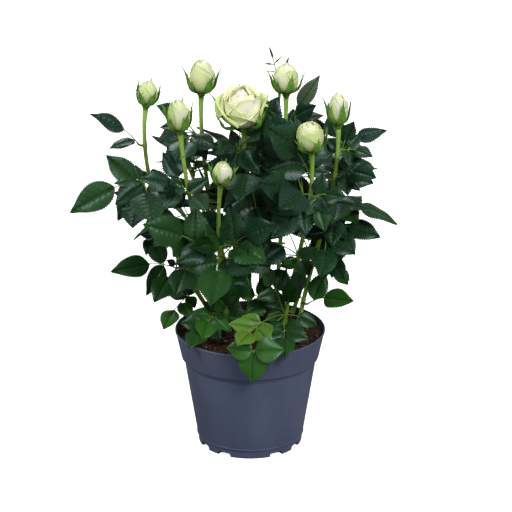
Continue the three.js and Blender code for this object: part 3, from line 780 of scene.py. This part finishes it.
guards.append(pot_skin())
for number, grown in enumerate(CANES):
    for low, high in zip(CANE_RINGS, CANE_RINGS[1:]):
        guards.append(limb_skin(
            cane_points(number), lambda share: cane_radius(share, grown["bloom"]) + GUARD, 6, [low, high]
        ))
    if grown["bloom"]:
        radius, height, _ = grown["bloom"]
        foot, axis = on_curve(cane_points(number), 1)
        guards.append(limb_skin(
            [foot, foot + axis * (height + 5)],
            lambda share: radius * (0.5 + 0.7 * math.sin(math.pi * (0.1 + 0.7 * share))),
            8, [0, 0.25, 0.5, 0.75, 1],
        ))
shoots = [
    start_shoot(row, number, index) for number, rows in enumerate(SHOOTS) for index, row in enumerate(rows)
]
for shoot in shoots:
    for number, tip in enumerate(shoot["tips"]):
        share = TIP_NODES["first"] - TIP_NODES["step"] * number
        add_leaf(shoot, on_curve(shoot["stem"], share)[0], tip)
for shoot in shoots:
    for number in range(shoot["extra"]):
        add_extra_leaf(shoot, number)


FILL = {
    "leaves": 12, "size": 0.88, "least": 30, "shares": (0.15, 0.98), "turn": 25, "reach": (1.3, 2.1),
    "radii": (128, 152, 122), "guard": 0.12, "thick": 0.012,
}
PATCH = {"shoots": 6, "shares": (0.85, 0.5), "nearer": (6, -10, 22), "reach": (24, 85), "size": 0.6}
SIGHT_FALL = 0.343
SPOT_ROWS = ((0.15, 0.2), (0.4, 0.32), (0.65, 0.25), (0.95, 0))
STALK_SIGHT = {"from": 0.72, "spots": 9, "wide": 4}
# Openings through the crown from the front: how far across and up their middles are, and their half sizes.
WINDOWS = [
    (46, 237, 8, 14), (-63, 322, 6, 5), (-72, 270, 5, 7), (5, 194, 5, 5), (-60, 178, 5, 7), (-63, 368, 5, 8),
    (56, 303, 4, 5), (-17, 424, 34, 15), (16, 418, 15, 14), (-123, 377, 9, 9), (-118, 340, 6, 5),
    (-111, 158, 10, 11), (72, 161, 6, 10), (-38, 388, 5, 6), (-33, 377, 8, 4), (138, 245, 5, 6),
]
# Places across and up from the front where the crown has leaves and the growing rule alone leaves it bare.
GAPS = [
    (-100, 375), (-103, 345), (-97, 327), (-51, 353), (-45, 339), (44, 208), (134, 345), (139, 334),
    (123, 299), (124, 274), (112, 186), (101, 193), (-61, 200), (-90, 215), (93, 370), (-84, 352),
    (-104, 360), (60, 200), (3, 78), (-46, 116), (86, 128), (-14, 112), (32, 106), (-62, 112), (-135, 142),
    (-60, 338), (-40, 330), (-75, 300), (20, 372), (-20, 366), (100, 232), (-40, 262), (20, 262),
]


def leaflet_spots(leaflet):
    """Spots over a leaflet: how far across and up they show from the front, and how far back they are."""
    foot, way, face, size = leaflet
    side = way.cross(face)
    for along, wide in SPOT_ROWS:
        for hand in (-1, 0, 1):
            spot = foot + way * (along * size) + side * (hand * wide * size)
            yield spot.x, spot.z + SIGHT_FALL * spot.y, spot.y


def in_window(leaflet):
    """Whether a leaflet would close one of the crown's openings."""
    return any(
        math.hypot((across - x) / wide, (up - z) / high) < 1
        for across, up, _ in leaflet_spots(leaflet)
        for x, z, wide, high in WINDOWS
    )


def stalk_marks():
    """Spots along each flower stalk and bloom: where they show from the front, how far back and how wide."""
    marks = []
    for number, grown in enumerate(CANES):
        if grown["bloom"]:
            radius, height, _ = grown["bloom"]
            tip, axis = on_curve(cane_points(number), 1)
            shares = np.linspace(STALK_SIGHT["from"], 1, STALK_SIGHT["spots"])
            spots = [(on_curve(cane_points(number), share)[0], STALK_SIGHT["wide"]) for share in shares]
            spots += [(tip + axis * height * share, radius) for share in (0.2, 0.5, 0.8)]
            marks += [(spot.x, spot.z + SIGHT_FALL * spot.y, spot.y, wide) for spot, wide in spots]
    return np.array(marks).T


MARKS = stalk_marks()


def hides_stalk(leaflet):
    """Whether a leaflet would stand in front of a flower stalk or a bloom."""
    marks_across, marks_up, marks_deep, marks_wide = MARKS
    return any(
        ((np.hypot(marks_across - across, marks_up - up) < marks_wide) & (deep < marks_deep)).any()
        for across, up, deep in leaflet_spots(leaflet)
    )


def fill_leaf(shoot, number):
    """A finer leaf that fills what room is left, from any place on the stem and inside the crown."""
    roll = shoot["fill_roll"]
    share = mix(*FILL["shares"], roll())
    node, way = on_curve(shoot["stem"], share)
    side = squared_to(way, shoot["hint"])
    side.rotate(Quaternion(way, math.radians(FILL["turn"] + GOLDEN_ANGLE * number)))
    out = (way * mix(0.1, 0.9, roll()) + side + UP * 0.2).normalized()
    size = shoot["leaflet"] * FILL["size"]
    tip = node + out * (size * mix(*FILL["reach"], roll()))
    if in_crown(tip, FILL["radii"]):
        before = len(shoot["leaves"])
        add_leaf({**shoot, "leaflet": size, "roll": roll}, node, tip)
        if any(hides_stalk(leaf["leaflets"][0]) for leaf in shoot["leaves"][before:]):
            shoot["leaves"].pop()


def close_gap(across, up):
    """The nearest side shoot that has room grows a leaf to a bare place of the crown."""
    def apart(shoot):
        end = shoot["stem"][-1]
        return math.hypot(end.x - across, end.z + SIGHT_FALL * end.y - up)

    near = sorted(shoots, key=apart)[:PATCH["shoots"]]
    for shoot, share, nearer in itertools.product(near, PATCH["shares"], PATCH["nearer"]):
        node = on_curve(shoot["stem"], share)[0]
        deep = node.y - nearer
        tip = Vector((across, deep, up - SIGHT_FALL * deep))
        reach = (tip - node).length
        if PATCH["reach"][0] < reach < PATCH["reach"][1]:
            before = len(shoot["leaves"])
            size = min(shoot["leaflet"], reach * PATCH["size"])
            add_leaf({**shoot, "leaflet": size, "roll": shoot["fill_roll"]}, node, tip)
            ends = [leaf["leaflets"][0] for leaf in shoot["leaves"][before:]]
            if ends and not hides_stalk(ends[0]) and not in_window(ends[0]):
                return
            del shoot["leaves"][before:]


def open_windows(shoot):
    """Drops the leaves whose end leaflet closes a window, and the other leaflets that do."""
    shoot["leaves"] = [leaf for leaf in shoot["leaves"] if not in_window(leaf["leaflets"][0])]
    for leaf in shoot["leaves"]:
        leaf["leaflets"] = [leaflet for leaflet in leaf["leaflets"] if not in_window(leaflet)]


for shoot in shoots:
    shoot["fill_roll"] = dice(7000 + sum(map(ord, shoot["name"])))
LEAFLET["thick"], GUARD = FILL["thick"], FILL["guard"]
for place in GAPS:
    close_gap(*place)
for number in range(FILL["leaves"]):
    for shoot in shoots:
        if shoot["leaflet"] > FILL["least"]:
            fill_leaf(shoot, number)
for shoot in shoots:
    open_windows(shoot)

# One leaf of three leaflets hangs over the front of the pot's rim, in the plant's freshest green.
RIM_EDGE = Vector((4, -90, 144))
HANGING = [((-0.1, -0.17, -0.98), 37), ((0.97, -0.05, 0.12), 34), ((-0.95, -0.02, 0.2), 30)]
rim_shoot = next(shoot for shoot in shoots if shoot["name"] == "leaves_7_a")
rim_node = on_curve(rim_shoot["stem"], 0.95)[0]
hanging_ways = [(Vector(way).normalized(), size) for way, size in HANGING]
rim_shoot["leaves"].append({
    "rib": [rim_node, rim_node.lerp(RIM_EDGE, 0.6) + UP * 8, RIM_EDGE],
    "leaflets": [(RIM_EDGE, way, squared_to(way, Vector((0, -1, 0.6))), size) for way, size in hanging_ways],
    "look": ("fresh", 1.18),
})


# Leaf stalks: slim green twigs and ribs, round and a little thicker where they join, each leaflet on a short
# stalk of its own.
STALK_SIDES = 6
STALK_STEPS = 10
ROOTED = {"stem": 1.8, "rib": 0.6, "leaflet": 0.3}
stalks = []
for shoot in shoots:
    curve = [Vector(point) for point in shoot["stem"]]
    path = [on_curve(curve, k / STALK_STEPS)[0] for k in range(STALK_STEPS + 1)]
    path.insert(0, path[0] - shoot["away"] * ROOTED["stem"])
    path.append(path[-1] + (path[-1] - path[-2]).normalized() * 1.5)
    radii = [mix(STEM["foot"], STEM["tip"], k / STALK_STEPS) for k in range(1, STALK_STEPS + 1)]
    radii = [STEM["foot"] * 1.15, STEM["foot"] * 1.1, *radii, STEM["tip"] * 0.4]
    stalks.append((*tube(path, radii, STALK_SIDES), 0))
    for leaf in shoot["leaves"]:
        path = [on_curve(leaf["rib"], k / STALK_STEPS)[0] for k in range(STALK_STEPS + 1)]
        path[0] = path[0] - (path[1] - path[0]).normalized() * ROOTED["rib"]
        radii = [
            mix(RIB["foot"], RIB["tip"] * 0.8, k / STALK_STEPS) * 0.9 + 0.45 * math.exp(-k * 1.2)
            for k in range(STALK_STEPS + 1)
        ]
        stalks.append((*tube(path, radii, STALK_SIDES), 0))
        for foot, way, face, size in leaf["leaflets"]:
            path = [foot + way * along for along in (-ROOTED["leaflet"], 1.5, 3.2)]
            stalks.append((*tube(path, [0.75, 0.62, 0.5], STALK_SIDES), 0))
stalk_green = bare_material("stalk_green", 0.45, Specular_IOR_Level=0.4, Base_Color=paint(110, 150, 56))
grained(stalk_green, 900, 0.0001)
finish_piece(joined("leaf_stalks", stalks, [stalk_green]), "cane")


# Leaves: glossy leathery leaflets, oval and pointed with a sawn edge, folded a little along the midrib and
# quilted between the veins, paler and matte underneath; each leaf has one of the plant's greens.
TOOTH = 2.4
ACROSS = np.array([-1, -0.78, -0.53, -0.28, -0.035, 0, 0.035, 0.28, 0.53, 0.78, 1])
BLADE = {"stalk": 1.2, "half_thick": 0.22, "quilt": 0.028, "groove": 0.01, "wave": 0.022, "vein": 0.16}
CROWN_HEIGHT = 300
# One dark green has a bluish sheen painted into its colour; the highest leaves and a few others get it, where
# light from above would give that sheen.
TONES = {
    "deep": (20, 50, 25), "dark_with_blue_sheen": (20, 46, 33), "mid": (29, 66, 20), "fresh": (44, 90, 24),
    "yellow": (88, 126, 40), "red": (84, 44, 38), "dull": (74, 92, 66),
}
TONE_HEIGHTS = (("dark_with_blue_sheen", 0.75), ("deep", 0.42), ("mid", 0.08), ("fresh", -math.inf))
LEAF_FINISHES = [*TONES, "underside", "midrib", "vein"]
# The tone and slimness of the first leaves of some shoots; the others' follow from their height.
OWN_LOOKS = {
    "leaves_5_d": [("red", 0.26), ("red", 0.26), ("red", 0.3), ("red", 0.3)],
    "leaves_7_a": [("mid", 1), ("yellow", 0.95), ("fresh", 0.95)],
    "leaves_1_e": [("mid", 0.82), ("mid", 0.8)],
    "leaves_1_b": [("mid", 0.76)],
    "leaves_1_f": [("dark_with_blue_sheen", 0.72)],
    "leaves_5_c": [("dull", 0.62)],
    "leaves_6_f": [("dark_with_blue_sheen", 0.75)],
}


def thin_sheet(middle, face, half_thick):
    """Points and faces of a thin closed sheet round a grid of points, sharp along its rim."""
    rows, columns = middle.shape[:2]
    thick = np.full((rows, columns, 1), half_thick)
    thick[[0, -1]] = 0
    thick[:, [0, -1]] = 0
    under = (middle - face * thick)[1:-1, 1:-1]
    points = np.concatenate([(middle + face * thick).reshape(-1, 3), under.reshape(-1, 3)])
    top_grid = np.arange(rows * columns).reshape(rows, columns)
    under_grid = top_grid.copy()
    inner = (rows - 2, columns - 2)
    under_grid[1:-1, 1:-1] = rows * columns + np.arange(math.prod(inner)).reshape(inner)
    before, after = slice(None, -1), slice(1, None)
    corners = ((before, before), (before, after), (after, after), (after, before))
    top, under = (
        np.stack([grid[corner] for corner in corners], -1).reshape(-1, 4) for grid in (top_grid, under_grid)
    )
    return points, np.concatenate([top, under[:, [0, 3, 2, 1]]]).tolist()


def leaflet_sheet(leaflet, tone, slim, roll):
    """Points, faces and finishes of one leaflet."""
    foot, way, face, size = leaflet
    teeth = max(6, round(size / TOOTH))
    along = np.sort(np.concatenate([np.arange(teeth + 1) / teeth, (np.arange(teeth) + 0.68) / teeth]))
    tooth = np.zeros(len(along))
    tooth[1::2] = 1
    half = size * slim * LEAFLET["width"] / 2 * np.sin(np.pi * along**0.72).clip(0) ** 0.85
    half = half * np.interp(along, (0, 0.7, 0.86, 1), (1, 1, 0.84, 0.9))
    half = np.maximum(half, np.where(along < 0.5, 0.5, 0.08))
    saw = 1 + (0.15 + 0.9 / size) * tooth * np.clip((along - 0.06) * 12, 0, 1)
    x = half[:, None] * ACROSS[None]
    wide, along = np.abs(ACROSS)[None], along[:, None]
    fold, droop = mix(0.1, 0.34, roll()), mix(0.06, 0.2, roll())
    twist, phase, sway = mix(-0.22, 0.22, roll()), roll() * 6.28, mix(-0.06, 0.06, roll())
    veins = (6.5 + 2 * roll()) * along - 1.9 * wide
    quilt = np.sin(np.pi * veins) ** 2 * np.clip(wide * 5, 0, 1) * (1 - wide**3)
    wave = wide**2 * np.sin(9 * along + phase + np.sign(ACROSS)[None])
    z = np.abs(x) * fold * (1 - 0.6 * wide) - droop * size * along**2 + twist * x * along
    z = z + size * (BLADE["quilt"] * quilt - BLADE["groove"] * (wide < 0.02) + BLADE["wave"] * wave)
    x[:, [0, -1]] *= saw[:, None]
    x = x + sway * size * along**2
    y = BLADE["stalk"] + along * (size - BLADE["stalk"]) + 0 * x
    side, way, face = (np.array(axis) for axis in (way.cross(face), way, face))
    middle = np.array(foot) + x[..., None] * side + y[..., None] * way + z[..., None] * face
    points, faces = thin_sheet(middle, face, BLADE["half_thick"])
    rows, columns = z.shape
    finishes = np.full((2, rows - 1, columns - 1), tone)
    if LEAF_FINISHES[tone] in ("deep", "dark_with_blue_sheen", "mid"):
        between = (veins[:-1, :-1] + veins[1:, 1:]) / 2 % 1
        veined = (between < BLADE["vein"]) & (np.arange(rows - 1)[:, None] > 1)
        finishes[0][veined] = LEAF_FINISHES.index("vein")
    finishes[0, :, 4:6] = LEAF_FINISHES.index("midrib")
    finishes[1] = LEAF_FINISHES.index("underside")
    return points, faces, finishes.reshape(-1).tolist()


def leaf_tone(place, roll):
    """Upper leaves are dark, the highest with a bluish sheen painted into their green, lower ones fresher,
    with a few of every green among them.
    """
    height = (place.z - SOIL_TOP) / CROWN_HEIGHT + (roll() - 0.5) * 0.45
    return next(tone for tone, least in TONE_HEIGHTS if height > least)


leaf_finishes = [
    bare_material(
        f"leaf_{name}", 0.37, Specular_IOR_Level=0.36, Specular_Tint=paint(214, 240, 246),
        Base_Color=paint(*tint),
    )
    for name, tint in TONES.items()
]
for leaf_finish in leaf_finishes:
    grained(leaf_finish, 1300, 0.00008)
underside = bare_material("leaf_underside", 0.7, Specular_IOR_Level=0.25, Base_Color=paint(88, 112, 72))
midrib = bare_material("leaf_midrib", 0.42, Specular_IOR_Level=0.35, Base_Color=paint(44, 80, 42))
vein = bare_material("leaf_vein", 0.42, Specular_IOR_Level=0.3, Base_Color=paint(31, 66, 36))
for leaf_finish in (underside, midrib, vein):
    grained(leaf_finish, 1300, 0.0001)
leaf_finishes += [underside, midrib, vein]
for number in range(len(CANES)):
    own = [shoot for shoot in shoots if shoot["cane"] == number]
    blades = []
    for index, shoot in enumerate(own):
        roll = dice(5000 + number * 100 + index * 10)
        looks = OWN_LOOKS.get(shoot["name"], [])
        for rank, leaf in enumerate(shoot["leaves"]):
            look = leaf_tone(leaf["leaflets"][0][0], roll), mix(0.88, 1.12, roll())
            if "look" in leaf or rank < len(looks):
                look = leaf.get("look") or looks[rank]
            tone = LEAF_FINISHES.index(look[0])
            blades += [leaflet_sheet(leaflet, tone, look[1], roll) for leaflet in leaf["leaflets"]]
    piece = joined(f"foliage_of_cane_{number + 1}", blades, leaf_finishes)
    finish_piece(piece, "leaves", *[shoot["name"] for shoot in own])


# Blooms: creamy green petals wrapped spirally round the heart, tight in the buds and rolled back in the open
# rose, on a round green hip with five long pointed sepals.
HIP = {
    "radius": 4.6, "height": 7,
    "outline": ((CANE["neck"], 0), (3.4, 1.2), (4.3, 2.6), (4.8, 4.2), (4.7, 5.8), (4.0, 7), (2.5, 7.6)),
}
SEPAL = {"count": 5, "length": (0.7, 0.9), "lean": (0.05, 0.6), "widths": (2.4, 5.4, 4.9, 3.2, 1.1, 0.1)}
BARB = {"places": ((0.42, 1), (0.55, -1), (0.68, 1)), "radii": (0.45, 0.34, 0.22, 0.06)}
BARB_PATH = ((-0.2, 0, 0), (0.4, 0.1, 1.6), (0.9, 0.16, 3.4))
PETAL_TINTS = ((0, (255, 243, 206)), (0.16, (250, 248, 222)), (0.45, (222, 234, 164)), (1, (146, 190, 74)))
PETAL_STEPS = 17
# The layers of petals from the heart outwards; each pair of values is for a bud and for the open rose, and a
# petal's outline has shares of the bloom's radius and height.
PETAL_LAYERS = [
    {
        "count": (3, 5), "span": (116, 100), "curl": (0, 0), "tint": (0.2, 0),
        "bud": [(0.08, 0), (0.5, 0.2), (0.44, 0.8), (0.02, 1.05)],
        "rose": [(0.06, 0.1), (0.42, 0.4), (0.42, 1.0), (-0.08, 1.03)],
    },
    {
        "count": (3, 5), "span": (118, 88), "curl": (0.02, 0.07), "tint": (0.2, 0.05),
        "bud": [(0.2, 0), (0.88, 0.12), (0.7, 0.82), (0.07, 1.03)],
        "rose": [(0.1, 0), (0.72, 0.25), (0.62, 0.95), (0.24, 1.03)],
    },
    {
        "count": (2, 5), "span": (114, 74), "curl": (0.03, 0.13), "tint": (0.3, 0.12),
        "bud": [(0.22, 0), (1.08, 0.1), (0.84, 0.8), (0.15, 1.01)],
        "rose": [(0.1, 0), (0.92, 0.08), (0.74, 0.88), (0.54, 0.97)],
    },
    {
        "count": (3, 6), "span": (108, 66), "curl": (0.05, 0.15), "tint": (0.4, 0.24),
        "bud": [(0.25, -0.01), (1.22, 0.07), (0.98, 0.78), (0.28, 0.98)],
        "rose": [(0.12, -0.01), (1.0, 0.02), (0.84, 0.62), (0.92, 0.74)],
    },
]


def petal_sheet(layer, turn, bloom, roll):
    """One petal, built upright round the axis: points, faces, and how green each point is."""
    radius, height, opened = bloom
    body = height - HIP["height"]
    hull = mix(np.array(layer["bud"]), np.array(layer["rose"]), opened) * (radius, body)
    curl, tint = mix(*layer["curl"], opened), mix(*layer["tint"], opened)
    tall, lean = mix(mix(0.95, 0.86, opened), 1.03, roll()), mix(-0.3, 0.3, roll())
    wave, bias = roll() * 6.28, roll()
    u = np.linspace(-1, 1, PETAL_STEPS)[None, :]
    v = np.linspace(0, 1, PETAL_STEPS)[:, None]
    rise = v * (1 - mix(0.26, 0.2, opened) * np.abs(u - lean) ** 2.2) * np.where(v > 0, tall, 1)
    rise = np.clip(rise - 0.05 * np.exp(-((u - lean) / 0.1) ** 2) * v**8, 0, 1.05)
    weights = [(1 - rise) ** 3, 3 * rise * (1 - rise) ** 2, 3 * rise**2 * (1 - rise), rise**3]
    reach, high = (sum(weight * point[k] for weight, point in zip(weights, hull)) for k in (0, 1))
    sides = np.clip((np.abs(u) - 0.3) / 0.7, 0, 1)
    rim = np.clip((v - 0.72) / 0.28, 0, 1)
    rolled = rim**2 * mix(0.45 + sides, 1.1 - 0.5 * sides, opened) + 0.5 * sides**2 * v**2
    fallen = rim**2 * mix(0.15 + 0.55 * sides, 0.1 + 1.5 * sides, opened)
    overlap = mix(0.075, 0.04, opened) * u * (0.3 + v)
    ripple = mix(0.02, 0.045, opened) * np.sin(4.2 * u + wave) * v**3
    scallop = mix(0.012, 0.03, opened) * np.sin(5.3 * u + 2 * wave) * v**4
    reach = reach + radius * (curl * rolled + overlap + ripple)
    high = high + body * (scallop - curl * fallen)
    reach = np.maximum(reach, 0.35)
    span = math.radians(mix(*layer["span"], opened))
    angle = turn + u * span * (0.5 + 0.5 * np.sin(np.pi * (0.08 + 0.6 * v)))
    middle = np.stack([reach * np.cos(angle), reach * np.sin(angle), high + HIP["height"]], -1)
    face = np.cross(np.gradient(middle, axis=1), np.gradient(middle, axis=0))
    face /= np.maximum(np.linalg.norm(face, axis=-1, keepdims=True), 1e-9)
    points, faces = thin_sheet(middle, face, mix(0.28, 0.42, opened))
    green = tint * (0.15 + 1.3 * bias + 0.5 * np.abs(u) ** 3) + 0.7 * (1 - v) ** 2
    green = green + (0.75 * tint + 0.2 * opened) * rim
    return points, faces, np.concatenate([green.reshape(-1), green[1:-1, 1:-1].reshape(-1)])


def sepal_sheet(out_angle, path, widths):
    """One sepal along its path of reaches and heights, cupped round the bloom."""
    share = np.linspace(0, 1, 15)
    reach, height = (np.interp(share, np.linspace(0, 1, len(path)), line) for line in zip(*path))
    for line in (reach, height):
        line[1:-1] = (line[:-2] + 2 * line[1:-1] + line[2:]) / 4
    half = np.interp(share, np.linspace(0, 1, len(widths)), widths)
    u = np.linspace(-1, 1, 5)
    out = np.array([math.cos(out_angle), math.sin(out_angle), 0])
    side = np.array([-math.sin(out_angle), math.cos(out_angle), 0])
    bow = reach[:, None] - 0.35 * half[:, None] * u[None] ** 2 + 0.25
    middle = bow[..., None] * out + (half[:, None] * u[None])[..., None] * side
    middle[..., 2] = height[:, None]
    return thin_sheet(middle, out, 0.3)


def calyx_forms(bloom, roll):
    """The hip with its sepals, which lie along the bloom and have a few fine barbs at their edges."""
    radius, height, _ = bloom
    base = HIP["height"]
    length = (height - base) * mix(*SEPAL["length"], roll())
    forms = [tube([(0, 0, high) for _, high in HIP["outline"]], [wide for wide, _ in HIP["outline"]], 14)]
    for k in range(SEPAL["count"]):
        turn = k / SEPAL["count"] * 2 * math.pi + roll() * 0.4
        lean = radius * mix(*SEPAL["lean"], roll())
        path = [
            (HIP["radius"] - 1.5, base - 2), (radius * 0.82, base + length * 0.03),
            (radius * 1.08, base + length * 0.24), (radius * 1.12 + 0.6, base + length * 0.5),
            (radius * 1.1 + lean * 0.5, base + length * 0.8), (radius * 1.12 + lean, base + length * 1.04),
        ]
        forms.append(sepal_sheet(turn, path, SEPAL["widths"]))
        for share, hand in BARB["places"]:
            wide = np.interp(share, np.linspace(0, 1, len(path)), [reach for reach, _ in path])
            start, rise = turn + hand * 2 / wide, base + share * length
            barb = []
            for out, aside, up in (*BARB_PATH, (1.8, 0.2, 5 + 2 * roll())):
                swing = start + hand * aside
                barb.append(((wide + out) * math.cos(swing), (wide + out) * math.sin(swing), rise + up))
            forms.append(tube(barb, BARB["radii"], 5))
    return forms


petal_finish = bare_material(
    "cream_petal", 0.55, Specular_IOR_Level=0.3, Subsurface_Weight=0.4, Subsurface_Scale=0.6,
    Subsurface_Radius=(0.006, 0.006, 0.003),
)
green_share = petal_finish.node_tree.nodes.new("ShaderNodeAttribute")
green_share.attribute_name = "green"
coloured(petal_finish, green_share.outputs["Fac"], PETAL_TINTS)
grained(petal_finish, 900, 0.00015, (1, 1, 0.25))
sepal_finish = bare_material("sepal_green", 0.5, Specular_IOR_Level=0.35)
mottled(sepal_finish, ((0.35, (80, 132, 42)), (0.6, (110, 162, 58)), (0.78, (142, 182, 80))), 160)
grained(sepal_finish, 900, 0.00015)
for number, grown in enumerate(CANES):
    if not grown["bloom"]:
        continue
    opened = grown["bloom"][2]
    foot, axis = on_curve(cane_points(number), 1)
    upright = np.array(UP.rotation_difference(axis).to_matrix())
    seat = np.array(foot + axis * CLEARANCE)
    roll = dice(number + 900)
    petals, greens = [], []
    for rank, layer in enumerate(PETAL_LAYERS):
        count = round(mix(*layer["count"], opened))
        for order in range(count):
            turn = math.tau * (order + 0.4 * rank + 0.25 * roll()) / count
            points, faces, green = petal_sheet(layer, turn, grown["bloom"], roll)
            petals.append((points @ upright.T + seat, faces, 0))
            greens.append(green)
    piece = joined(f"rose_petals_{number + 1}", petals, [petal_finish], 60)
    green_layer = piece.data.attributes.new("green", "FLOAT", "POINT")
    green_layer.data.foreach_set("value", np.concatenate(greens).astype(np.float32))
    finish_piece(piece, "petals", f"bloom_{number + 1}")

    forms = calyx_forms(grown["bloom"], dice(number + 50))
    calyx = [(points @ upright.T + seat, faces, 0) for points, faces in forms]
    finish_piece(joined(f"calyx_{number + 1}", calyx, [sepal_finish]), "leaves")


bpy.context.view_layer.update()
